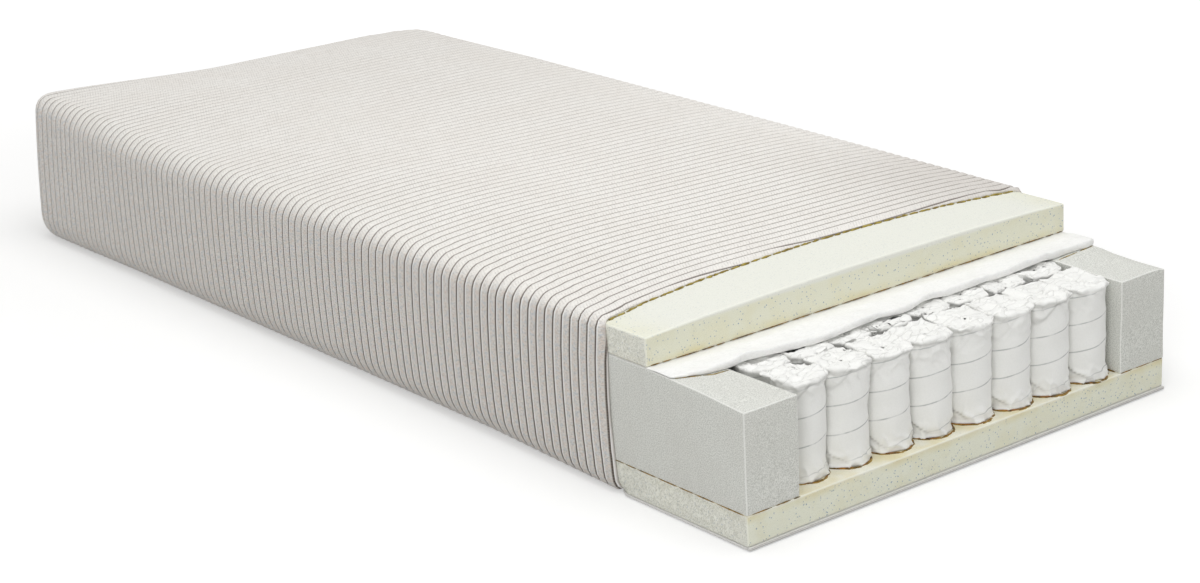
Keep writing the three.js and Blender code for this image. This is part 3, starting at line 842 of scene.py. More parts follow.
class MATTRESS_OT_knit_cover(bpy.types.Operator):
    """Makes the ribbed knit cover, stretched over the foam and cut off near the foot end"""

    bl_idname = "mattress.add_knit_cover"
    bl_label = "Knit Cover"

    def execute(self, context):
        knit = settings("knit")
        place, phase = self.lay_out(knit)
        p = onto_cover(place, knit.crown)
        n = outward(p, knit.crown)
        rows, columns = p.shape[:2]
        # the cut edge is pressed thin, and so is the seam
        beyond = place[..., 1] - place[:1, :, 1]
        thin = 1 - smooth_step(beyond, 0, 9 * MM)
        thin[rows // 2 :] = 0
        seam = np.minimum(np.arange(columns), columns - 1 - np.arange(columns))
        wall = knit.thickness - 3 * MM * (seam == 0)
        outer = p - n * (thin * (knit.thickness - 2.5 * MM))[..., None]
        inner = p - n * wall[None, :, None]
        weight = np.ones((rows, columns)) * np.clip(0.3 + seam / 4, 0, 1)
        weight *= 1 - 0.6 * thin
        # one number for each different place, so that squeezed rows and columns close up
        key = np.round(place.reshape(-1, 3), 6)
        _, first, index = np.unique(key, axis=0, return_index=True, return_inverse=True)
        faces, used = self.walls(index.reshape(rows, columns), len(first))

        def both(front, behind):
            flat = [a.reshape((-1, *front.shape[2:]))[first] for a in (front, behind)]
            return np.concatenate(flat)[used]

        points = both(outer, inner)
        across = np.concatenate(
            [[0], np.linalg.norm(np.diff(p[rows // 3], axis=0), axis=-1).cumsum()]
        )
        across = np.broadcast_to(across - across[-1] / 2, (rows, columns))
        uv = np.stack([across, phase * knit.rib_pitch], -1)
        side = 1 - smooth_step(n[..., 2], 0.35, 0.85)
        cut = (thin > 0.999) * side
        layers = {
            "rib_phase": both(phase, phase),
            "rib_weight": both(weight, weight * 0),
            "outward": both(n, n),
            "side": both(side, side),
            "cut": both(cut, cut),
        }
        piece = make_object("knit_cover", points, facing_out(points, faces), both(uv, uv), layers)
        grown(piece, self.rib_tree(), {"Depth": knit.rib_depth, "Material": knit_material(knit)})
        placed(piece, "mattress", "cover_knit")
        return {"FINISHED"}

    def walls(self, index, count):
        """The faces of the cover's two skins and of the edges between them, and the points used."""
        rows, columns = index.shape
        coarse = [*range(0, rows - 8, 16), rows - 1]
        back = index[coarse] + count
        faces = self.skin(index) + [f[::-1] for f in self.skin(back)]
        for c in range(columns - 1):  # the cut edge, and the end of the seam at the head
            faces.append([index[0, c], back[0, c], back[0, c + 1], index[0, c + 1]])
            faces.append([index[-1, c], index[-1, c + 1], back[-1, c + 1], back[-1, c]])
        for c, turn in ((0, 1), (columns - 1, -1)):  # the seams along both sides
            for k, (a, b) in enumerate(zip(coarse, coarse[1:])):
                faces.append(([*index[a : b + 1, c]] + [back[k + 1, c], back[k, c]])[::turn])
        faces = [f for f in (list(dict.fromkeys(map(int, f))) for f in faces) if len(f) > 2]
        used = np.unique(np.concatenate(faces))
        renumber = np.full(2 * count, -1)
        renumber[used] = np.arange(len(used))
        return [[int(renumber[i]) for i in f] for f in faces], used

    def skin(self, index):
        """The faces between neighbouring rows and columns."""
        a, b, c, d = index[:-1, :-1], index[:-1, 1:], index[1:, 1:], index[1:, :-1]
        return np.stack([a, b, c, d], -1).reshape(-1, 4).tolist()

    def lay_out(self, knit):
        """Where each row and column of the cover lies on the sharp box, and its rib phase."""
        s, y, down = self.rows(knit)
        place = self.columns(y, down)
        # the arches on the head round their corners as they get smaller
        arch = slice(TUCK, place.shape[1] - TUCK)
        soft = smooth_step(down, 0, 40 * MM) * smooth_step(HEIGHT - down, 0, 60 * MM)
        for _ in range(14):
            line = place[:, arch]
            mean = line.copy()
            mean[:, 1:-1] = (line[:, :-2] + line[:, 2:]) / 2
            place[:, arch] = line + (mean - line) * 0.7 * soft[:, None, None]
        self.draw_askew(place, y, down)
        return self.close_on_cut(place, s / knit.rib_pitch)

    def rows(self, knit):
        """Samples of each rib, from before the cut to the seam under the head: how far along the
        cover each lies, its y on the sharp box, and how far down the head end it is."""
        samples = [0, 0.045, 0.11, 0.25, 0.5, 0.75, 0.89, 0.955]
        start = CUT_Y + 3.5 * MM - 3 * knit.rib_pitch
        body = HEAD - EDGE - start
        edge_arc, foot_arc = 91 * MM, 80 * MM
        drop = HEIGHT - 2 * EDGE
        total = body + edge_arc + drop + foot_arc
        ribs = int(total / knit.rib_pitch)
        s = np.append(np.add.outer(np.arange(ribs), samples).ravel() * knit.rib_pitch, total)
        # over the upper edge of the head and down
        turn = np.clip((s - body) / edge_arc, 0, 1) * math.pi / 2
        out, left = round_square(turn)
        y = np.where(turn > 0, HEAD - EDGE + EDGE * out, start + np.minimum(s, body))
        down = np.where(turn > math.pi / 4, EDGE * (1 - left), 0)
        down = down + np.clip(s - body - edge_arc, 0, drop)
        # round its lower edge to the seam
        last = math.pi / 2 - math.atan((SEAM_Y - HEAD + EDGE) / EDGE)
        turn = np.clip((s - body - edge_arc - drop) / foot_arc, 0, 1) * last
        out, left = round_square(turn)
        down = down + EDGE * out
        y = np.where(turn > math.pi / 4, HEAD - EDGE + EDGE * left, y)
        return s, y, np.minimum(down, HEIGHT)

    def columns(self, y, down):
        """The places of each row on the sharp box: seam, left side, top, right side and seam."""
        near = EDGE * fan(6)
        side_z = [near, np.linspace(EDGE, HEIGHT - EDGE, 6)[1:-1], HEIGHT - near[::-1]]
        side_z = np.concatenate(side_z)
        top_x = np.concatenate([-HALF + near[1:], np.linspace(-HALF + EDGE, 0, 11)[1:]])
        half_count = TUCK + len(side_z) + len(top_x)
        columns = 2 * half_count - 1
        x_end, z_end = HALF - down, HEIGHT - down
        seam_x, seam_y = np.minimum(SEAM_X, x_end), np.minimum(y, SEAM_Y)
        place = np.zeros((len(y), columns, 3))
        for c in range(columns):
            k, sign = (c, -1.0) if c < half_count else (columns - 1 - c, 1.0)
            if k < TUCK:
                t = k / TUCK
                x, foot_y = seam_x + (x_end - seam_x) * t, seam_y + (y - seam_y) * t
                place[:, c] = np.stack([sign * x, foot_y, y * 0], -1)
            elif k < TUCK + len(side_z):
                z = side_z[k - TUCK] * z_end / HEIGHT
                place[:, c] = np.stack([sign * x_end, y, z], -1)
            else:
                x = top_x[k - TUCK - len(side_z)] * x_end / HALF
                place[:, c] = np.stack([-sign * x, y, z_end], -1)
        return place

    def close_on_cut(self, place, phase):
        """Rows before the cut close up on its line, where the ribs are cut through."""
        phase = np.broadcast_to(phase[:, None], place.shape[:2]).copy()
        for c, cut in enumerate(self.cut_line(place[0])):
            at_cut = np.interp(cut, place[:, c, 1], phase[:, c])
            before = place[:, c, 1] < cut + 1.2 * MM
            before[len(place) // 2 :] = False
            place[before, c, 1] = cut
            phase[place[:, c, 1] == cut, c] = at_cut
        return place, phase

    def draw_askew(self, place, y, down):
        """The ribs don't run quite straight across: they bow and lean, as the cover was pulled on."""
        x, z = place[0, :, 0], place[0, :, 2]
        bow_x = np.array([-400, -360, -310, -210, -110, 0, 140, 240, 290, 340, 365, 400]) * MM
        bow_y = np.array([-5, 0, 10, 16, 11, 0, -5, -4.5, -5, -8.6, -14, -15]) * MM
        bow = np.interp(x, bow_x, bow_y)
        heights = np.array([0, 110, 170, 242.5]) * MM
        left = np.interp(z, heights, np.array([-7, 0, 0, -5]) * MM)
        right = np.interp(z, heights, np.array([-12, -6, -8, -15]) * MM)
        on_top = z > HEIGHT - 1e-6
        bow = np.where(on_top, bow, np.where(x < 0, left, right))
        for _ in range(2):
            bow[1:-1] = (bow[:-2] + 2 * bow[1:-1] + bow[2:]) / 4
        fade = (1 - smooth_step(y, 0.0, 0.85)) * (down <= 0)
        lean = np.interp(y, [-0.68, 0.0, 0.3, 0.86], [0, 0.055, 0.055, 0]) * (down <= 0)
        place[..., 1] += bow * fade[:, None] - lean[:, None] * np.clip(x, -HALF, HALF)

    def cut_line(self, row):
        """How far towards the foot the knit reaches in each column."""
        x, z = row[:, 0], row[:, 2]
        cut_x = np.array([-400, -387, -373, -355, -327, -292, -229, -100, 0, 91, 186, 261, 331, 369,
                          387, 400]) * MM
        cut_y = np.array([-681, -677, -673, -670, -664, -665, -657, -651, -648, -650, -654, -658,
                          -666, -665, -672, -678]) * MM
        side = np.interp(z, np.array([0, 110, 200, 242.5]) * MM,
                         np.array([-695, -686, -686, -681]) * MM)
        return np.where(z > HEIGHT - 1e-6, np.interp(x, cut_x, cut_y), side)

    def rib_tree(self):
        """Sinks the surface between ribs: flat-topped ridges with narrow grooves."""
        tree, entry, leave = geometry_tree(
            "ribbed knit", [("Geometry", "Geometry"), ("Depth", "Float"), ("Material", "Material")]
        )
        phase = add(tree, NAMED, {"Name": "rib_phase"}, data_type="FLOAT")
        weight = add(tree, NAMED, {"Name": "rib_weight"}, data_type="FLOAT")
        out = add(tree, NAMED, {"Name": "outward"}, data_type="FLOAT_VECTOR")
        t = add(tree, MATH, [phase], operation="FRACT")
        t = add(tree, MATH, [t, 2.0, -1.0], operation="MULTIPLY_ADD")
        t = add(tree, MATH, [t], operation="ABSOLUTE")
        t = add(tree, MATH, [t, 2.6], operation="POWER")
        t = add(tree, MATH, [1.0, t], operation="SUBTRACT")
        t = add(tree, MATH, [t, 0.0], operation="MAXIMUM")
        t = add(tree, MATH, [t, 0.7], operation="POWER")
        t = add(tree, MATH, [t, 1.0], operation="SUBTRACT")
        t = add(tree, MATH, [t, entry.outputs["Depth"]], operation="MULTIPLY")
        t = add(tree, MATH, [t, weight], operation="MULTIPLY")
        offset = add(tree, VECTOR, {0: out, "Scale": t}, operation="SCALE")
        moved = add(tree, MOVE, {"Geometry": entry.outputs["Geometry"], "Offset": offset})
        finish_tree(tree, moved, entry, leave)
        return tree


class MATTRESS_OT_underside(bpy.types.Operator):
    """Makes the thin quilted underside, which the knit is sewn to"""

    bl_idname = "mattress.add_underside"
    bl_label = "Quilted Underside"

    def execute(self, context):
        low, high = (np.array(v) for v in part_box("cover_underside"))
        edge, lip, diamond = 1.4 * MM, 4 * MM, 60 * MM
        p, share, faces = block(
            [ticks(low[0], high[0], edge, 64), ticks(low[1] - lip, high[1], edge, 152),
             ticks(low[2], high[2], edge, 1)], edge
        )
        # full width where it is bare, and drawn in to the seam under the knit
        covered = smooth_step(p[:, 1], CUT_Y - 14 * MM, CUT_Y + 2 * MM)
        p[:, 0] *= 1 + (SEAM_X / CORE_HALF - 1) * covered
        radius = np.where(p[:, 0] < 0, 15 * MM, 60 * MM)
        corner = np.clip(p[:, 1] - high[1] + radius, 0, radius)
        p[:, 0] *= 1 - (radius - np.sqrt(radius ** 2 - corner ** 2)) / SEAM_X
        p[:, 1] -= HEAD_SKEW * (p[:, 0] / HALF + 1) / 2 * smooth_step(p[:, 1], 0.4, high[1])
        # diamonds whose stitched lines sink into the wadding
        u, v = (p[:, 0] + p[:, 1]) / diamond, (p[:, 0] - p[:, 1]) / diamond
        line = np.minimum(np.abs(u - np.round(u)), np.abs(v - np.round(v)))
        inside = smooth_step(np.abs(2 * share[:, 1] - 1), 0.995, 0.98)
        inside *= smooth_step(np.abs(2 * share[:, 0] - 1), 0.99, 0.96)
        p[:, 2] += (1 - share[:, 2]) * inside * 1.6 * MM * (1 - smooth_step(line, 0.0, 0.3))
        piece = make_object("underside_panel", p, faces, material=underside_material())
        placed(piece, "mattress", "cover_underside")
        return {"FINISHED"}


# ---------------------------------------------------------------- operators: foams and felt


class MATTRESS_OT_memory_foam(bpy.types.Operator):
    """Makes the memory foam layer: pale skin on top, cut cream faces with specks of gel"""

    bl_idname = "mattress.add_memory_foam"
    bl_label = "Memory Foam Layer"

    def execute(self, context):
        foam, crown = settings("foam"), settings("knit").crown
        low, high = MEMORY_LOW, MEMORY_HIGH

        def shape(p, share):
            lift = rise(p[:, 0], p[:, 1]) / RAIL_RISE
            p[:, 2] += crowned(p[:, 0], p[:, 1], crown) * share[:, 2]
            p[:, 2] += FOAM_RISE * lift * (1 - share[:, 2])
            return rippled(p, share, 1, 0.9 * MM, 60 * MM, 3)

        material = foam_material(
            "viscoelastic_memory_foam_cut", foam, list(foam.memory), list(foam.memory_cut),
            (2, high.z + crown - 5 * MM, high.z - 2 * MM), (2, low.z + 16 * MM, low.z),
        )
        piece = foam_block("memory_foam", low, high, (46, 72, 6), material, shape, edge=2.6 * MM)
        placed(piece, "mattress", "memory_foam_layer")
        return {"FINISHED"}


class MATTRESS_OT_base_foam(bpy.types.Operator):
    """Makes the base foam slab that the springs and the rails are glued to"""

    bl_idname = "mattress.add_base_foam"
    bl_label = "Base Foam Slab"

    def execute(self, context):
        foam = settings("foam")
        low, high = BASE_LOW, BASE_HIGH

        def shape(p, share):
            return rippled(p, share, 1, 0.8 * MM, 60 * MM, 5)

        material = foam_material(
            "polyurethane_foam_gel_flecked_cut", foam, linear("#F4F4EA"), list(foam.base),
            (2, high.z - 1 * MM, high.z - 5 * MM), (2, high.z - 15 * MM, high.z),
        )
        piece = foam_block("base_slab", low, high, (46, 80, 6), material, shape, edge=2.0 * MM)
        placed(piece, "mattress", "base_foam")
        return {"FINISHED"}


class MATTRESS_OT_rails(bpy.types.Operator):
    """Makes the foam rails round the springs: left, right and head"""

    bl_idname = "mattress.add_rails"
    bl_label = "Foam Rails"

    def execute(self, context):
        material = rail_material(settings("foam"))

        def left(p, share):
            p[:, 2] += share[:, 2] * rise(p[:, 0], p[:, 1])
            return rippled(p, share, 1, 0.8 * MM, 45 * MM, 8)

        def right(p, share):
            # its bare end has sunk, most of all at its outer edge
            sunk = 3 * MM
            sag = np.interp(p[:, 1], [FOOT + 45 * MM, FOOT + 109 * MM], [-sunk, 0])
            outer = smooth_step(p[:, 0], CORE_HALF - 22 * MM, CORE_HALF)
            bare = 1 - smooth_step(p[:, 1], FOOT + 90 * MM, FOOT + 130 * MM)
            p[:, 2] += share[:, 2] ** 4 * (sag - sunk * outer ** 2 * bare)
            return rippled(p, share, 1, 0.8 * MM, 45 * MM, 9)

        for name, node, cells, shape in (
            ("rail_left", "side_rail_left", (8, 84, 10), left),
            ("rail_right", "side_rail_right", (8, 84, 10), right),
            ("rail_head", "head_rail", (30, 8, 10), None),
        ):
            low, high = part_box(node)
            piece = foam_block(name, low, high, cells, material, shape, edge=1.6 * MM)
            placed(piece, "mattress", node)
        return {"FINISHED"}


class MATTRESS_OT_felt(bpy.types.Operator):
    """Makes the white felt pad over the springs, whose front edge is soft and wavy"""

    bl_idname = "mattress.add_felt"
    bl_label = "Felt Pad"

    def execute(self, context):
        springs, crown = settings("springs"), settings("knit").crown
        low, high = (np.array(v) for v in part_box("felt_pad"))
        edge = 3.6 * MM
        along = np.concatenate([
            FELT_FRONT + edge * fan(3)[:-1],
            np.arange(FELT_FRONT + edge, MEMORY_LOW.y + 8 * MM, 3 * MM),
            np.linspace(MEMORY_LOW.y + 10 * MM, high[1] - edge, 90),
            high[1] - edge * fan(3)[-2::-1],
        ])
        p, share, faces = block(
            [ticks(low[0], high[0], edge, 180), along, ticks(low[2], high[2], edge, 1)], edge
        )
        # its front was cut by hand: a wavy line, softened, with small waves and tufts on it
        line_x = np.array([-392.7, -383, -334, -303, -147, 45, 321.6, 389.6]) * MM
        line_y = np.array([-811, -812, -826, -822, -839, -828, -826, -819]) * MM
        edge_y = np.interp(p[:, 0], line_x, line_y)
        for shift in (-18 * MM, 18 * MM):
            edge_y = edge_y + np.interp(p[:, 0] + shift, line_x, line_y)
        edge_y /= 3
        flat = np.stack([p[:, 0], p[:, 0] * 0, p[:, 0] * 0], -1)
        edge_y += 3.0 * MM * value_noise(flat, 42 * MM, 4) + 1.0 * MM * value_noise(flat, 15 * MM, 6)
        bare = np.clip((MEMORY_LOW.y - p[:, 1]) / (MEMORY_LOW.y - FELT_FRONT), 0, 1.05)
        p[:, 1] += bare * (edge_y - FELT_FRONT)
        # thinner over the left rail, puffed up where it is bare
        lift, up = rise(p[:, 0], p[:, 1]), share[:, 2]
        p[:, 2] += lift * (1 - up) + FOAM_RISE * lift / RAIL_RISE * up
        puff = smooth_step(MEMORY_LOW.y - 4 * MM - p[:, 1], 0, 26 * MM)
        lumps = value_noise(p, 34 * MM, 12) + 0.5 * value_noise(p, 12 * MM, 14)
        p[:, 2] += up * puff * (3.0 * MM + 2.2 * MM * lumps)
        # its front edge lifts off the pockets here and there
        lip = smooth_step(p[:, 1] - edge_y, 16 * MM, 0) * smooth_step(np.abs(p[:, 0]), 0.31, 0.28)
        p[:, 2] += lip * 3.2 * MM * smooth_step(value_noise(flat, 52 * MM, 21), -0.2, 0.6)
        p = tucked_in(p, crown)
        piece = make_object("felt_fleece", p, faces, material=felt_material(springs))
        placed(piece, "mattress", "felt_pad")
        return {"FINISHED"}


# ---------------------------------------------------------------- spring pockets


def turned_by(angle, start):
    """The angle from a direction to others, from minus half a turn to half a turn."""
    return (angle - start + math.pi) % (2 * math.pi) - math.pi


def pocket_rings(height, mean):
    """A pocket's rings, from the middle of its foot to the hole in its top: radius, as a share of
    its wall's, and height over its foot."""
    shoulder = 4 * MM
    turn = np.linspace(0, math.pi / 2, 5)[1:]
    wall = np.concatenate([
        [1.2 * MM, 3 * MM, 5 * MM], np.linspace(8 * MM, 26 * MM, 8),
        np.linspace(30 * MM, height - 48 * MM, 12), np.linspace(height - 45 * MM, height - shoulder, 21),
    ])
    tops = np.linspace(0.84, 0.05, 16)
    rho = np.concatenate([
        [0.3, 0.7, 0.93], np.ones(len(wall)), 1 - (1 - np.cos(turn)) * shoulder / mean, tops
    ])
    z = np.concatenate([
        [0, 0, 0.2 * MM], wall, height - shoulder * (1 - np.sin(turn)), np.full(len(tops), height)
    ])
    return rho[:, None], z[:, None]


def wall_relief(a, rho, z, drop, low, spot, loose, chance):
    """A pocket's wall: how far it stands out, where painted shade darkens its folds, and where the wire
    shows. drop is the distance under the top."""
    wall = rho > 0.95
    on_wall = smooth_step(z, 6 * MM, 16 * MM) * smooth_step(drop, 2 * MM, 12 * MM) * (rho > 0.99)
    # the wire pushes the cloth out in a line; between its turns the cloth sinks a little
    climb = (z - WIRE_START + low) / WIRE_RISE - a / (2 * math.pi)
    line = np.abs(climb % 1 - 0.5)
    out = on_wall * 0.6 * MM * (np.exp(-((line / 0.04) ** 2)) - smooth_step(line, 0.08, 0.5))
    out = out + on_wall * 1.8 * MM * value_noise(spot * [1, 1, 0.6], 22 * MM, 1)
    # creases that run down slantwise from the gathers, and up from the foot
    slant = spot * [1.3, 1.3, 0.5] + z[..., None] * [0.6, 0.6, 0]
    crease = ridges(slant + 3 * MM * value_noise(spot, 12 * MM, 4)[..., None], 15 * MM, 2) ** 4
    ends = smooth_step(drop, 52 * MM, 10 * MM) + 1.5 * smooth_step(z, 34 * MM, 6 * MM)
    out = out + loose * 3.0 * MM * (crease - 0.3) * ends * (rho > 0.9)
    # the slack folded over at the upper left: its edge runs down from the rim to the weld
    reach = (38 + chance.uniform(-12, 12)) * MM
    brink = math.radians(chance.uniform(238, 272)) - drop / reach * math.radians(58)
    flap = smooth_step(turned_by(a, brink), 0.13, -0.12)
    flap = flap * smooth_step(a, math.radians(165), math.radians(185))
    flap = flap * smooth_step(drop, reach, reach - 16 * MM) * smooth_step(drop, 0, 6 * MM)
    slack = chance.uniform(0.2, 1.0) ** 2
    out = out + loose * 3.4 * slack * MM * flap * wall
    # the foot's hem spreads; the top's rim stands out over a groove, and its corners stand out
    hem = smooth_step(z, 6 * MM, 0) * (rho > 0.9)
    out = out + loose * hem * (1.4 * MM + 1.6 * MM * value_noise(spot, 9 * MM, 5))
    wave = 3 * MM * value_noise(spot * [1, 1, 0], 22 * MM, 15)
    rim_groove = np.exp(-(((drop - 7.5 * MM + wave) / (1.7 * MM)) ** 2)) * wall
    out = out + loose * MM * (1.1 * smooth_step(drop, 7 * MM, 3 * MM) * (rho > 0.9) - 1.1 * rim_groove)
    for corner in (222, 318):  # degrees
        away = turned_by(a, math.radians(corner + chance.uniform(-9, 9)))
        ear = np.exp(-((away / chance.uniform(0.1, 0.2)) ** 2))
        ear = ear * smooth_step(drop, 15 * MM, 2 * MM) * smooth_step(rho, 0.7, 1.0)
        out = out + loose * chance.uniform(1.5, 6.5) * MM * ear
    # a dart at the lower left: slack tucked under a fold that runs down from the weld to the right
    weld = math.radians(192)
    heel = weld + (math.radians(chance.uniform(232, 254)) - weld) * smooth_step(z, 25 * MM, 4 * MM)
    below = turned_by(a, heel)
    dart = smooth_step(below, 0.06, -0.06) * smooth_step(a, math.radians(178), math.radians(190))
    dart = dart * smooth_step(z, 26 * MM, 20 * MM) * smooth_step(z, 1 * MM, 4 * MM)
    gloom = dart * np.exp(-((below / 0.13) ** 2)) * smooth_step(z, 3 * MM, 14 * MM)
    tuck = chance.uniform(0.35, 1.0)
    out = out - loose * 2.2 * MM * tuck * dart * wall
    # painted shade: along the edge of the folded flap, in the groove under the top's rim, and in the
    # dart's crease
    fold_shade = np.clip(flap * (1 - flap) * 2.0 * slack, 0, 1)
    fold_shade = fold_shade + 0.5 * rim_groove * smooth_step(wave, -2 * MM, 1 * MM)
    return out, loose * (fold_shade + 0.9 * tuck * gloom) * wall, on_wall


def top_relief(a, rho, z, drop, height, spot, seed, loose):
    """A pocket's crumpled top: how far it is lifted, and where the cloth counts as top. Broad lumps
    come first, then sharp creases, which meet towards the gather."""
    upper = z > height / 2
    top = smooth_step(rho, 1.0, 0.9) * upper
    wander = spot + 6 * MM * np.stack([value_noise(spot, 13 * MM, k) for k in (11, 12, 13)], -1)
    broad = value_noise(spot, 21 * MM, 6)
    sharp = ridges(wander * [0.8, 1.2, 1.0], 20 * MM, 7) ** 3 - 0.4
    fine = ridges(wander * [1.0, 1.5, 1.0], 11 * MM, 8) ** 3 - 0.4
    spokes = [np.cos(a) * 9 * MM, np.sin(a) * 9 * MM, 0 * rho + seed]
    spokes = np.stack(np.broadcast_arrays(*spokes), -1)
    pleat = ridges(spokes, 3.2 * MM, 9) ** 2 - 0.45
    lift = top * MM * (1.5 * broad + 4.6 * sharp + 2.0 * fine + 1.2 * pleat * np.clip(rho * 2, 0, 1))
    lift = lift - top * 1.5 * MM * smooth_step(rho, 0.3, 0.05)
    rim = smooth_step(drop, 12 * MM, 0) * (1 - top) * upper
    lift = lift + rim * MM * (1.3 * broad + 1.8 * sharp + 0.8 * fine)
    return lift * (0.3 + 0.7 * loose), top + 0.6 * rim


def pocket_skin(centre, semi, low, high, columns, seed, loose, back, front):
    """One pocket's outer face as rings of points, from the middle of its foot up over its wall and
    shoulder to the gathered hole in its top. loose is how slack its cloth is, from 0 to 1; back and
    front are the places, in y, that the slack of its top reaches on each side."""
    height, mean = high - low, semi.mean()
    rho, z = pocket_rings(height, mean)
    angle = np.arange(columns) * 2 * math.pi / columns
    a = angle[None, :]
    drop = height - z
    flat = [np.cos(a) * mean * rho, np.sin(a) * mean * rho, z + 0 * a]
    spot = np.stack(np.broadcast_arrays(*flat), -1) + seed * 1.7
    chance = random.Random(int(seed * 1000))
    out, fold_shade, on_wall = wall_relief(a, rho, z, drop, low, spot, loose, chance)
    lift, top = top_relief(a, rho, z, drop, height, spot, seed, loose)
    r = rho + out / mean
    x, y = r * np.cos(a) * semi[0], r * np.sin(a) * semi[1]
    # slack between the rows: the top is wider there, and nearly square
    spread = smooth_step(drop, 13 * MM, 1 * MM) * smooth_step(rho, 0.25, 1.0)
    ragged = 0.9 + 0.1 * value_noise(spot, 15 * MM, 16)
    for edge, toward in ((back, np.sin(a)), (front, -np.sin(a))):
        room = abs(edge - centre[1]) * ragged
        share = spread * smooth_step(toward, 0.05, 0.5) * (room > semi[1] * 0.95)
        x = x + share * (np.clip(x * 1.35, -semi[0], semi[0]) - x) * 0.9
        y = y + share * smooth_step(toward, 0.0, 0.6) * (np.sign(y) * room - y)
    grid = np.stack([centre[0] + x, centre[1] + y, low + z + lift], -1)
    grid[:2, :, 2] = low
    ones = np.ones_like(r)
    return grid, fold_shade * ones, on_wall * ones, top * ones, angle, z + 0 * r


def ring_faces(index):
    """Quads between the rings of an index grid, closed round."""
    a, b = index[:-1], np.roll(index[:-1], -1, axis=1)
    d, c = index[1:], np.roll(index[1:], -1, axis=1)
    return np.stack([a, b, c, d], -1).reshape(-1, 4).tolist()


def pocket_mesh(centre, semi, low, high, columns, seed, loose, wall, room, back, front):
    """A pocket with a cloth wall: points, faces, UV and attributes. room is the box, in x and y,
    that the pocket has between its neighbours, and the most that its top may rise to."""
    grid, fold_shade, wire, top, angle, z = pocket_skin(
        centre, semi, low, high, columns, seed, loose, back, front
    )
    for axis in (0, 1):
        grid[..., axis] = np.clip(grid[..., axis], room[0][axis], room[1][axis])
    grid[..., 2] = np.clip(grid[..., 2], low, room[1][2])
    du = np.roll(grid, -1, axis=1) - np.roll(grid, 1, axis=1)
    dv = np.gradient(grid, axis=0)
    normal = np.cross(du, dv)
    normal /= np.maximum(np.linalg.norm(normal, axis=-1, keepdims=True), 1e-12)
    inside = grid - normal * wall
    rows = len(grid)
    points = np.concatenate([grid.reshape(-1, 3), inside.reshape(-1, 3)])
    foot = [[*centre[:2], low], [*centre[:2], low + wall]]
    points = np.concatenate([points, foot])
    index = np.arange(rows * columns).reshape(rows, columns)
    lining = index + rows * columns
    faces = ring_faces(index) + [f[::-1] for f in ring_faces(lining)]
    faces += ring_faces(np.stack([index[-1], lining[-1]]))
    pole, inner_pole = len(points) - 2, len(points) - 1
    for c in range(columns):
        d = (c + 1) % columns
        faces.append([pole, int(index[0, d]), int(index[0, c])])
        faces.append([inner_pole, int(lining[0, c]), int(lining[0, d])])
    round_it = np.broadcast_to(angle / (2 * math.pi), (rows, columns))
    climb = (z + low - WIRE_START) / WIRE_RISE
    uv = np.stack([round_it, climb], -1).reshape(-1, 2)
    uv = np.concatenate([uv, uv, [[0, 0], [0, 0]]])
    layers = {
        key: np.concatenate([v.ravel(), v.ravel() * 0, [0, 0]])
        for key, v in (("wire", wire), ("fold_shade", fold_shade), ("top", top))
    }
    return points, faces, uv, layers


def pocket_place(n):
    """Centre and half sizes of the front row's pocket n, and the corners of its box."""
    low, high = (np.array(v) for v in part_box(f"pocket_{n}"))
    return (low + high) / 2, (high - low)[:2] / 2, low, high


class MATTRESS_OT_front_pockets(bpy.types.Operator):
    """Makes the eight cloth pockets of the front row, each on a body of its own"""

    bl_idname = "mattress.add_front_pockets"
    bl_label = "Front Spring Pockets"

    def execute(self, context):
        springs = settings("springs")
        material = pocket_material(springs)
        chance = random.Random(springs.seed)
        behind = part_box("spring_string_02")[0].y - 0.6 * MM
        for n in range(1, POCKETS + 1):
            centre, semi, low, high = pocket_place(n)
            room = (
                (low[0] - 0.2 * MM, FOOT + 1 * MM, low[2]),
                (high[0] + 0.2 * MM, behind, high[2] + 4 * MM),
            )
            if n == POCKETS:
                room = (room[0], (high[0] + 3 * MM, *room[1][1:]))
            seed = chance.uniform(1, 40)
            semi = semi + np.array([-CLEAR, 0])
            points, faces, uv, layers = pocket_mesh(
                centre, semi, low[2], high[2], 128, seed, 1.0, springs.cloth_wall, room, behind,
                centre[1],
            )
            piece = make_object(
                f"spring_pocket_{n}", points, facing_out(points, faces), uv, layers, material
            )
            placed(piece, f"spring_{n}", f"pocket_{n}")
            press(piece)
        return {"FINISHED"}


def press(piece):
    """Gives the piece a mesh of its own."""
    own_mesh(piece)


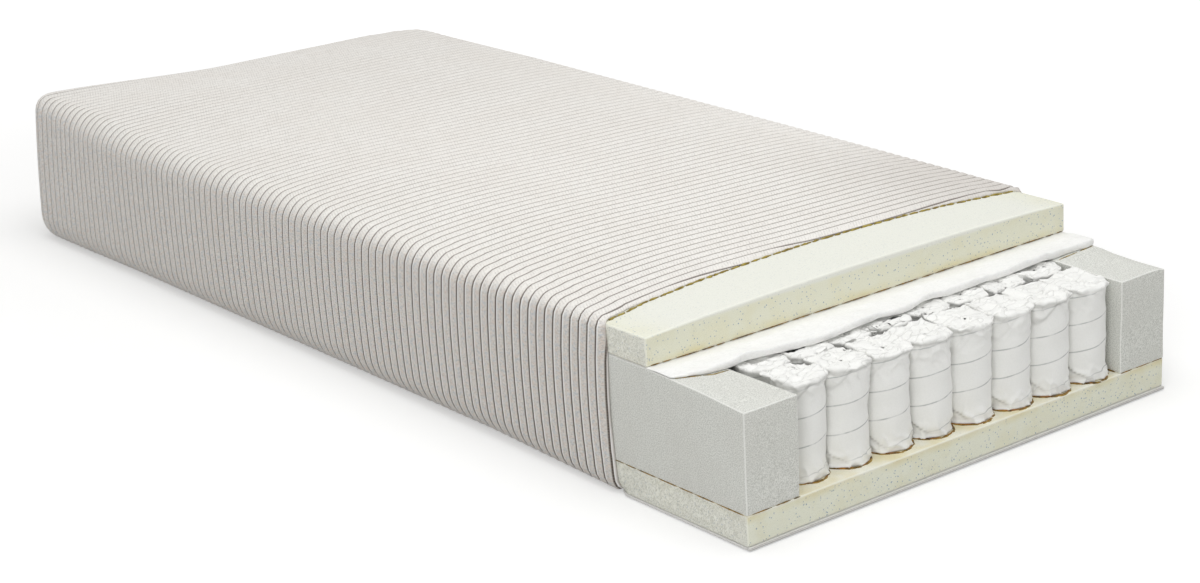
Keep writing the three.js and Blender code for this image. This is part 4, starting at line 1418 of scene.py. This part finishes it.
class MATTRESS_OT_second_row(bpy.types.Operator):
    """Makes the second row of pockets, half of which is bare in front of the felt"""

    bl_idname = "mattress.add_second_row"
    bl_label = "Second Row of Pockets"

    def execute(self, context):
        springs = settings("springs")
        low, high = (np.array(v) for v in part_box("spring_string_02"))
        chance = random.Random(springs.seed + 1)
        points, faces, uv, layers = [], [], [], []
        for n in range(1, POCKETS + 1):
            centre, semi, pocket_low, pocket_high = pocket_place(n)
            centre = np.array([centre[0], (low[1] + high[1]) / 2, 0])
            room = (
                (pocket_low[0] - 0.2 * MM, low[1], low[2]),
                (pocket_high[0] + 0.2 * MM, high[1], high[2] + 3 * MM),
            )
            p, f, t, layer = pocket_mesh(
                centre, semi + np.array([-CLEAR, 0]), low[2], high[2] - 1 * MM, 76,
                chance.uniform(1, 40), 0.85, springs.cloth_wall, room, centre[1], low[1],
            )
            # flattened where the felt lies on it
            under = smooth_step(p[:, 1], FELT_FRONT - 24 * MM, FELT_FRONT - 12 * MM)
            p[:, 2] = np.minimum(p[:, 2], high[2] + (1 - under) * 3 * MM - 0.1 * MM)
            f = facing_out(p, f)
            start = sum(map(len, points))
            points.append(p)
            faces += [[i + start for i in face] for face in f]
            uv.append(t)
            layers.append(layer)
        layers = {key: np.concatenate([layer[key] for layer in layers]) for key in layers[0]}
        piece = make_object(
            "spring_row_2", np.concatenate(points), faces, np.concatenate(uv), layers,
            pocket_material(springs),
        )
        placed(piece, "mattress", "spring_string_02")
        return {"FINISHED"}


class MATTRESS_OT_hidden_rows(bpy.types.Operator):
    """Makes the strings of pockets behind, eight pockets welded side by side in each"""

    bl_idname = "mattress.add_hidden_rows"
    bl_label = "Strings of Pockets"

    def execute(self, context):
        springs = settings("springs")
        tree = self.string_tree()
        material = pocket_material(springs)
        first, last = pocket_place(1)[0], pocket_place(POCKETS)[0]
        for node in sorted(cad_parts):
            if not node.startswith("spring_string_") or node.endswith("_02"):
                continue
            low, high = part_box(node)
            piece = grown(empty_object(node.replace("string", "row")), tree, {
                "Count": POCKETS, "First": Vector((first[0], (low.y + high.y) / 2, low.z)),
                "Pitch": float(last[0] - first[0]) / (POCKETS - 1), "Height": high.z - low.z,
                "Half Width": float(pocket_place(1)[1][0]) - CLEAR,
                "Half Depth": (high.y - low.y) / 2 - CLEAR, "Material": material,
                "Shift": float(int(node[-2:])),
            })
            placed(piece, "mattress", node)
        return {"FINISHED"}

    def string_tree(self):
        """A row of pockets: rings of cloth, tightest at the shoulders, sunk in the middle of each
        end, with a soft bulge and a few dents that differ from pocket to pocket."""
        tree, entry, leave = geometry_tree("string of pockets", [
            ("Count", "Int"), ("First", "Vector"), ("Pitch", "Float"), ("Height", "Float"),
            ("Half Width", "Float"), ("Half Depth", "Float"), ("Shift", "Float"),
            ("Material", "Material"),
        ])
        give = entry.outputs
        one = add(
            tree, "GeometryNodeMeshCylinder",
            {"Vertices": 28, "Side Segments": 9, "Fill Segments": 3, "Radius": 1.0, "Depth": 1.0},
            fill_type="NGON",
        )
        at = add(tree, "GeometryNodeInputPosition")
        axes = add(tree, SPLIT, [at]).node.outputs
        # how far from mid-height, 0 to 1: the shoulders draw in over the last tenth
        far = add(tree, MATH, [axes[2]], operation="ABSOLUTE")
        tight = add(tree, RANGE, [far, 0.40, 0.5, 1.0, 0.9], **SOFT)
        radius = add(tree, VECTOR, [at, (1.0, 1.0, 0.0)], operation="MULTIPLY")
        radius = add(tree, VECTOR, [radius], "Value", operation="LENGTH")
        sunk = add(tree, RANGE, [radius, 0.75, 0.15, 1.0, 0.955], **SOFT)
        wide = add(tree, MATH, [tight, give["Half Width"]], operation="MULTIPLY")
        deep = add(tree, MATH, [tight, give["Half Depth"]], operation="MULTIPLY")
        tall = add(tree, MATH, [sunk, give["Height"]], operation="MULTIPLY")
        scale = add(tree, JOIN, [wide, deep, tall])
        moved = add(tree, VECTOR, [at, scale], operation="MULTIPLY")
        half = add(tree, MATH, [give["Height"], 0.5], operation="MULTIPLY")
        up = add(tree, JOIN, [0.0, 0.0, half])
        moved = add(tree, VECTOR, [moved, up], operation="ADD")
        one = add(tree, MOVE, {"Geometry": one, "Position": moved})
        step = add(tree, JOIN, [give["Pitch"], 0.0, 0.0])
        line = add(
            tree, "GeometryNodeMeshLine",
            {"Count": give["Count"], "Start Location": give["First"], "Offset": step},
        )
        row = add(tree, "GeometryNodeInstanceOnPoints", {"Points": line, "Instance": one})
        row = add(tree, "GeometryNodeRealizeInstances", [row])
        # dents only ever go inwards, so the pockets stay clear of each other
        where = add(tree, "GeometryNodeInputPosition")
        dent = add(
            tree, NOISE, {"Vector": where, "W": give["Shift"], "Scale": 1 / (28 * MM), "Detail": 1},
            noise_dimensions="4D",
        )
        dent = add(tree, RANGE, [dent, 0.45, 0.75, 0.0, -1.4 * MM])
        facing = add(tree, "GeometryNodeInputNormal")
        dent = add(tree, VECTOR, {0: facing, "Scale": dent}, operation="SCALE")
        row = add(tree, MOVE, {"Geometry": row, "Offset": dent})
        finish_tree(tree, row, entry, leave)
        return tree


class MATTRESS_OT_coils(bpy.types.Operator):
    """Makes the wire coil inside each pocket of the front row"""

    bl_idname = "mattress.add_coils"
    bl_label = "Wire Coils"

    def execute(self, context):
        springs = settings("springs")
        tree, material = self.coil_tree(), wire_material()
        for n in range(1, POCKETS + 1):
            low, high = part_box(f"coil_spring_{n}")
            piece = grown(empty_object(f"wire_coil_{n}"), tree, {
                "Foot": Vector(((low.x + high.x) / 2, (low.y + high.y) / 2, low.z + springs.wire / 2)),
                "Height": high.z - low.z - springs.wire, "Wire": springs.wire,
                "Radius": (high.x - low.x - springs.wire) / 2, "Turns": springs.turns,
                "Material": material,
            })
            placed(piece, f"spring_{n}", f"coil_spring_{n}")
            press(piece)
        return {"FINISHED"}

    def coil_tree(self):
        """A wire that closes on itself for one turn at each end and climbs evenly between."""
        tree, entry, leave = geometry_tree("wire coil", [
            ("Foot", "Vector"), ("Height", "Float"), ("Wire", "Float"), ("Radius", "Float"),
            ("Turns", "Float"), ("Material", "Material"),
        ])
        give = entry.outputs
        line = add(tree, "GeometryNodeCurvePrimitiveLine")
        line = add(tree, "GeometryNodeResampleCurve", {"Curve": line, "Count": 214})
        share = add(tree, "GeometryNodeSplineParameter", out="Factor")
        turns = add(tree, MATH, [give["Turns"], 2.0], operation="ADD")
        turn = add(tree, MATH, [share, turns], operation="MULTIPLY")
        angle = add(tree, MATH, [turn, 2 * math.pi], operation="MULTIPLY")
        closed = add(tree, MATH, [give["Wire"], 1.15], operation="MULTIPLY")  # rise of an end turn
        left = add(tree, MATH, [turns, turn], operation="SUBTRACT")
        lower = add(tree, MATH, [turn, 1.0], operation="MINIMUM")
        lower = add(tree, MATH, [lower, closed], operation="MULTIPLY")
        upper = add(tree, MATH, [1.0, left], operation="SUBTRACT")
        upper = add(tree, MATH, [upper, 0.0], operation="MAXIMUM")
        upper = add(tree, MATH, [upper, closed], operation="MULTIPLY")
        middle = add(tree, MATH, [closed, -2.0, give["Height"]], operation="MULTIPLY_ADD")
        active = add(tree, MATH, [turn, 1.0], operation="SUBTRACT")
        active = add(tree, MATH, [active, give["Turns"]], operation="DIVIDE", use_clamp=True)
        z = add(tree, MATH, [active, middle, lower], operation="MULTIPLY_ADD")
        z = add(tree, MATH, [z, upper], operation="ADD")
        end = add(tree, MATH, [turn, left], operation="MINIMUM")
        narrow = add(tree, RANGE, [end, 0.3, 1.2, 0.88, 1.0], **SOFT)
        radius = add(tree, MATH, [give["Radius"], narrow], operation="MULTIPLY")
        x = add(tree, MATH, [angle], operation="COSINE")
        y = add(tree, MATH, [angle], operation="SINE")
        x = add(tree, MATH, [x, radius], operation="MULTIPLY")
        y = add(tree, MATH, [y, radius], operation="MULTIPLY")
        at = add(tree, JOIN, [x, y, z])
        at = add(tree, VECTOR, [at, give["Foot"]], operation="ADD")
        line = add(tree, MOVE, {"Geometry": line, "Position": at})
        half = add(tree, MATH, [give["Wire"], 0.5], operation="MULTIPLY")
        ring = add(tree, "GeometryNodeCurvePrimitiveCircle", {"Resolution": 8, "Radius": half})
        wire = add(
            tree, "GeometryNodeCurveToMesh",
            {"Curve": line, "Profile Curve": ring, "Fill Caps": True},
        )
        finish_tree(tree, wire, entry, leave)
        return tree


# ---------------------------------------------------------------- glue


def path_object(name, paths):
    """Loose lines in one mesh, each a list of (point, half thickness), with how dark the glue is."""
    points, edges, thick, dark = [], [], [], []
    for path, tone in paths:
        start = len(points)
        points += [p for p, _ in path]
        thick += [t for _, t in path]
        dark += [tone] * len(path)
        edges += [(start + i, start + i + 1) for i in range(len(path) - 1)]
    mesh = bpy.data.meshes.new(name)
    mesh.from_pydata([tuple(map(float, p)) for p in points], edges, [])
    for key, values in (("thick", thick), ("dark", dark)):
        mesh.attributes.new(key, "FLOAT", "POINT").data.foreach_set("value", values)
    obj = bpy.data.objects.new(name, mesh)
    bpy.context.scene.collection.objects.link(obj)
    return obj


def dashes(line, on, off, half, chance, wander=0.0, tone=0.0):
    """Beads along a line (a list of points): long and short dashes of uneven thickness."""
    line = np.array(line, float)
    length = np.concatenate([[0], np.linalg.norm(np.diff(line, axis=0), axis=1).cumsum()])
    paths, s = [], chance.uniform(0, off)
    while s < length[-1] - 3 * MM:
        reach = min(chance.uniform(*on), length[-1] - s)
        steps = max(4, int(reach / (3 * MM)))
        spots = np.linspace(s, s + reach, steps)
        path = []
        for k, t in enumerate(spots):
            p = [np.interp(t, length, line[:, i]) for i in range(3)]
            p[1] += chance.uniform(-wander, wander)
            swell = math.sin(math.pi * (k + 0.35) / (steps - 0.3)) ** 0.5
            path.append((p, half * swell * chance.uniform(0.65, 1.15)))
        paths.append((path, tone))
        s += reach + chance.uniform(0.3, 1.0) * off
    return paths


class MATTRESS_OT_glue(bpy.types.Operator):
    """Makes the dried glue that shows along the cut edges and round the springs' feet"""

    bl_idname = "mattress.add_glue"
    bl_label = "Glue Lines"

    def execute(self, context):
        chance = random.Random(settings("springs").seed + 2)
        tree, material = self.bead_tree(), glue_material()
        pieces = {
            "glue_knit_edge": self.knit_edge(chance),
            "glue_foam_edge": self.foam_edge(chance),
            "glue_felt_edge": self.felt_edge(chance),
            "glue_feet_and_painted_shadow": self.feet(chance),
            "glue_rails": self.rails(chance),
        }
        for name, paths in pieces.items():
            piece = grown(path_object(name, paths), tree, {"Thickness": 1.0, "Material": material})
            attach(piece, "mattress")
        return {"FINISHED"}

    def knit_edge(self, chance):
        """Beads on the memory foam, along the knit's cut."""
        knit, back = bpy.data.objects["knit_cover"].data, -0.6  # the cut lies in front of that
        row = np.array([v.co for v in knit.vertices if v.co.y < back])
        row = row[(row[:, 2] > MEMORY_HIGH.z - 2 * MM) & (np.abs(row[:, 0]) < CORE_HALF - 6 * MM)]
        line = []
        for x in np.arange(-CORE_HALF + 8 * MM, CORE_HALF - 8 * MM, 6 * MM):
            near = row[np.abs(row[:, 0] - x) < 26 * MM]
            if len(near):
                foremost = np.sort(near[:, 1])[:3]
                line.append((x, float(foremost.mean()) - 1.0 * MM, 0))
        line = np.array(line)
        line[:, 1] = np.convolve(np.pad(line[:, 1], 2, "edge"), np.ones(5) / 5, "valid")
        crown = crowned(line[:, 0], line[:, 1], settings("knit").crown)
        line[:, 2] = MEMORY_HIGH.z + crown + 0.5 * MM
        return dashes(line, (8 * MM, 24 * MM), 5 * MM, 1.9 * MM, chance, 0.9 * MM)

    def foam_edge(self, chance):
        """Thin beads under the front edge of the memory foam."""
        x = np.linspace(-CORE_HALF + 4 * MM, CORE_HALF - 4 * MM, 120)
        y = np.full(120, MEMORY_LOW.y - 0.4 * MM)
        z = MEMORY_LOW.z + 1.2 * MM + FOAM_RISE * rise(x, y) / RAIL_RISE
        line = np.stack([x, y, z], -1)
        return dashes(line, (14 * MM, 60 * MM), 9 * MM, 0.8 * MM, chance, tone=0.55)

    def felt_edge(self, chance):
        """Beads where the felt ends on the left and on the right rail."""
        inner, outer = WELL_HALF + 2 * MM, CORE_HALF - 3 * MM
        paths = []
        for low, high, felt_x, felt_y in (
            (-outer, -inner, [-392.7, -383, -334, -303], [-811, -812, -826, -823]),
            (inner, outer, [303, 321.6, 389.6], [-827.5, -826, -819]),
        ):
            x = np.linspace(low, high, 24)
            y = np.interp(x, np.array(felt_x) * MM, np.array(felt_y) * MM) - 2.0 * MM
            z = SPRING_TOP + rise(x, y) + 0.2 * MM
            line = np.stack([x, y, z], -1)
            paths += dashes(line, (18 * MM, 50 * MM), 6 * MM, 0.9 * MM, chance, tone=0.35)
        return paths

    def feet(self, chance):
        """Two rings of beads round each foot of the front row, and at its left a dark arc of painted
        shadow, where the foot lifts off the foam.
        """
        paths = []
        for n in range(1, POCKETS + 1):
            ring = self.round_foot(n, np.linspace(186, 354, 40), 0.9 * MM, 3.2 * MM, 0.3 * MM)
            paths += dashes(ring, (16 * MM, 60 * MM), 4 * MM, 1.5 * MM, chance, 0.6 * MM, tone=0.8)
            ring = ring + [0, -1.8 * MM, -0.3 * MM]
            paths += dashes(ring, (10 * MM, 34 * MM), 9 * MM, 1.3 * MM, chance, 1 * MM, tone=0.45)
            # painted shadow: a dark bead under the left of the foot, where it lifts off the foam
            arc = self.round_foot(n, np.linspace(197, 258, 14), 0.4 * MM, 2.4 * MM, 0.4 * MM)
            swell = 1.7 * MM * np.sin(np.linspace(0.25, math.pi - 0.1, 14)) ** 0.5
            paths.append((list(zip(arc, swell)), 1.0))
        return paths

    def round_foot(self, n, degrees, wider, deeper, lift):
        """A line on the base foam, round the foot of a front pocket."""
        centre, semi, _, _ = pocket_place(n)
        a = np.radians(degrees)
        x = centre[0] + np.cos(a) * (semi[0] + wider)
        y = centre[1] + np.sin(a) * (semi[1] + deeper)
        return np.stack([x, y, np.full(len(a), BASE_HIGH.z + lift)], -1)

    def rails(self, chance):
        """Beads along the foot of the rails: on their front, outside, and thicker in the well."""
        z, well_z = SPRING_FLOOR - 0.2 * MM, SPRING_FLOOR + 0.2 * MM
        front, outside, inside = FOOT - 0.2 * MM, CORE_HALF + 0.2 * MM, WELL_HALF - 0.6 * MM
        near, cut, deep = FOOT + 4 * MM, CUT_Y - 4 * MM, FOOT + 150 * MM
        paths = []
        for a, b, longest, half in (
            ((-CORE_HALF + 2 * MM, front, z), (-WELL_HALF, front, z), 40 * MM, 0.7 * MM),
            ((WELL_HALF, front, z), (CORE_HALF - 2 * MM, front, z), 40 * MM, 0.7 * MM),
            ((-outside, near, z), (-outside, cut, z), 70 * MM, 0.8 * MM),
            ((outside, near, z), (outside, cut, z), 70 * MM, 0.8 * MM),
            ((-inside, near + 2 * MM, well_z), (-inside, deep, well_z), 50 * MM, 1.3 * MM),
            ((inside, near + 2 * MM, well_z), (inside, deep, well_z), 50 * MM, 1.3 * MM),
        ):
            line = np.linspace(a, b, 60)
            paths += dashes(line, (12 * MM, longest), 8 * MM, half, chance, tone=0.6)
        return paths

    def bead_tree(self):
        """A round bead along each line, flattened by nothing but its own thickness."""
        tree, entry, leave = geometry_tree("glue bead", [
            ("Geometry", "Geometry"), ("Thickness", "Float"), ("Material", "Material")
        ])
        line = add(tree, "GeometryNodeMeshToCurve", [entry.outputs["Geometry"]])
        thick = add(tree, NAMED, {"Name": "thick"}, data_type="FLOAT")
        thick = add(tree, MATH, [thick, entry.outputs["Thickness"]], operation="MULTIPLY")
        line = add(tree, "GeometryNodeSetCurveRadius", {"Curve": line, "Radius": thick})
        ring = add(tree, "GeometryNodeCurvePrimitiveCircle", {"Resolution": 6, "Radius": 1.0})
        bead = add(tree, "GeometryNodeCurveToMesh", {
            "Curve": line, "Profile Curve": ring, "Fill Caps": True, "Scale": thick,
        })
        finish_tree(tree, bead, entry, leave)
        return tree


# ---------------------------------------------------------------- stage


CAMERA_PLACE = (-2.37058, -3.24041, 1.38594)
CAMERA_TURN, CAMERA_TILT, CAMERA_ROLL = (math.radians(a) for a in (-37.632, 18.894, -2.915))
FLOOR_HALF, FLOOR_Z = 20, -1.5 * MM


def pointed(obj, target):
    """Turns a lamp so that it shines at a point."""
    obj.rotation_euler = (Vector(target) - obj.location).to_track_quat("-Z", "Y").to_euler()
    return obj


class MATTRESS_OT_stage(bpy.types.Operator):
    """Sets up the pale floor, the soft lamps, the white surroundings and the camera"""

    bl_idname = "mattress.add_stage"
    bl_label = "Floor, Light and Camera"

    def execute(self, context):
        stage, scene = settings("stage"), context.scene
        scene.view_settings.view_transform = "Standard"
        corners = ((-1, -1), (1, -1), (1, 1), (-1, 1))
        corners = [(x * FLOOR_HALF, y * FLOOR_HALF, FLOOR_Z) for x, y in corners]
        floor = make_object(
            "floor", corners, [(0, 1, 2, 3)], material=self.floor_material(stage)
        )
        floor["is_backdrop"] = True
        self.surroundings(scene)
        for name, at, power, wide in (
            ("lamp_over", (-0.2, -0.7, 3.2), 54, 3.0),
            ("lamp_front", (1.6, -4.0, 1.2), 6, 2.4),
            ("lamp_left", (-3.4, -3.2, 1.4), 34, 1.6),
        ):
            lamp = bpy.data.lights.new(name, "AREA")
            lamp.energy, lamp.size, lamp.shape = power, wide, "DISK"
            lamp_object = bpy.data.objects.new(name, lamp)
            lamp_object.location = at
            lamp_object.visible_camera = False
            lamp_object.visible_glossy = False
            scene.collection.objects.link(pointed(lamp_object, (0, -0.2, 0.1)))
        camera = bpy.data.cameras.new("camera")
        camera.lens, camera.sensor_width = stage.lens, 36
        camera.clip_end = 60
        camera_object = bpy.data.objects.new("camera", camera)
        camera_object.matrix_world = self.viewpoint()
        scene.collection.objects.link(camera_object)
        scene.camera = camera_object
        return {"FINISHED"}

    def viewpoint(self):
        """The camera's place, turned round the mattress, tilted down and rolled."""
        level = math.cos(CAMERA_TILT)
        back = Vector(
            (math.sin(CAMERA_TURN) * level, -math.cos(CAMERA_TURN) * level, math.sin(CAMERA_TILT))
        )
        right = Vector((0, 0, 1)).cross(back).normalized()
        up = back.cross(right)
        c, s = math.cos(CAMERA_ROLL), math.sin(CAMERA_ROLL)
        right, up = c * right + s * up, c * up - s * right
        axes = Matrix((right, up, back)).transposed().to_4x4()
        return Matrix.Translation(CAMERA_PLACE) @ axes

    def floor_material(self, stage):
        """Painted board: matt and pale. To the camera and in reflections it glows, little beside the
        mattress, whose shadow stays, and more farther out, where it melts into the surroundings."""
        material = bpy.data.materials.new("matt_painted_board")
        material.use_nodes = True
        tree = material.node_tree
        tree.nodes.clear()
        surface = add(tree, "ShaderNodeBsdfDiffuse", {"Color": tuple(stage.floor), "Roughness": 0.6})
        place = add(tree, COORDS, out="Object")
        place = add(tree, MAPPING, {"Vector": place, "Scale": (1.0, 0.6, 1.0)})
        away = add(tree, VECTOR, [place], "Value", operation="LENGTH")
        away = add(tree, RANGE, [away, 0.6, 1.8, 0.36, 0.66], **SOFT)
        glow = add(tree, "ShaderNodeEmission", {"Color": (1, 1, 1, 1), "Strength": away})
        seen = self.seen(tree)
        glow = add(tree, "ShaderNodeMixShader", [seen, None, glow])
        done = add(tree, "ShaderNodeAddShader", [surface, glow])
        add(tree, "ShaderNodeOutputMaterial", {"Surface": done})
        return material

    def seen(self, tree):
        """1 for what the camera sees straight, in a reflection or through glass, 0 for light."""
        shown = add(tree, "ShaderNodeLightPath", out="Is Camera Ray")
        rays = shown.node.outputs
        for ray in ("Is Glossy Ray", "Is Transmission Ray"):
            shown = add(tree, MATH, [shown, rays[ray]], operation="MAXIMUM")
        return shown

    def surroundings(self, scene):
        """A world that lights softly, and looks white to the camera and in reflections."""
        world = bpy.data.worlds.new("surroundings")
        world.use_nodes = True
        tree = world.node_tree
        tree.nodes.clear()
        strength = add(tree, RANGE, [self.seen(tree), 0.0, 1.0, 0.52, 1.0])
        sky = add(tree, "ShaderNodeBackground", {"Color": (1, 1, 1, 1), "Strength": strength})
        add(tree, "ShaderNodeOutputWorld", {"Surface": sky})
        scene.world = world


# ---------------------------------------------------------------- panel and run


OPERATORS = (
    MATTRESS_OT_knit_cover, MATTRESS_OT_underside, MATTRESS_OT_memory_foam, MATTRESS_OT_base_foam,
    MATTRESS_OT_rails, MATTRESS_OT_felt, MATTRESS_OT_front_pockets, MATTRESS_OT_second_row,
    MATTRESS_OT_hidden_rows, MATTRESS_OT_coils, MATTRESS_OT_glue, MATTRESS_OT_stage,
)


class MATTRESS_PT_panel(bpy.types.Panel):
    """Lists the pieces of the mattress and their sizes and colours"""

    bl_idname = "MATTRESS_PT_panel"
    bl_label = "Cut-away Mattress"
    bl_space_type = "VIEW_3D"
    bl_region_type = "UI"
    bl_category = "Mattress"

    def draw(self, context):
        for name, group in SETTINGS.items():
            box = self.layout.box()
            box.label(text=group.__name__.replace("Settings", ""))
            for key in group.__annotations__:
                box.prop(getattr(context.scene, name), key)
        column = self.layout.column(align=True)
        for operator in OPERATORS:
            column.operator(operator.bl_idname)


CLASSES = (*SETTINGS.values(), *OPERATORS, MATTRESS_PT_panel)


def register():
    for kind in CLASSES:
        bpy.utils.register_class(kind)
    for name, group in SETTINGS.items():
        setattr(bpy.types.Scene, name, PointerProperty(type=group))


def unregister():
    for name in SETTINGS:
        delattr(bpy.types.Scene, name)
    for kind in reversed(CLASSES):
        bpy.utils.unregister_class(kind)


def main():
    register()
    for operator in OPERATORS:
        group, name = operator.bl_idname.split(".")
        getattr(getattr(bpy.ops, group), name)()
    sizes = {"cad": CAD_BOX, "visual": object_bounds()}
    sizes = {key: [list(map(float, corner)) for corner in box] for key, box in sizes.items()}


if __name__ == "__main__":
    main()
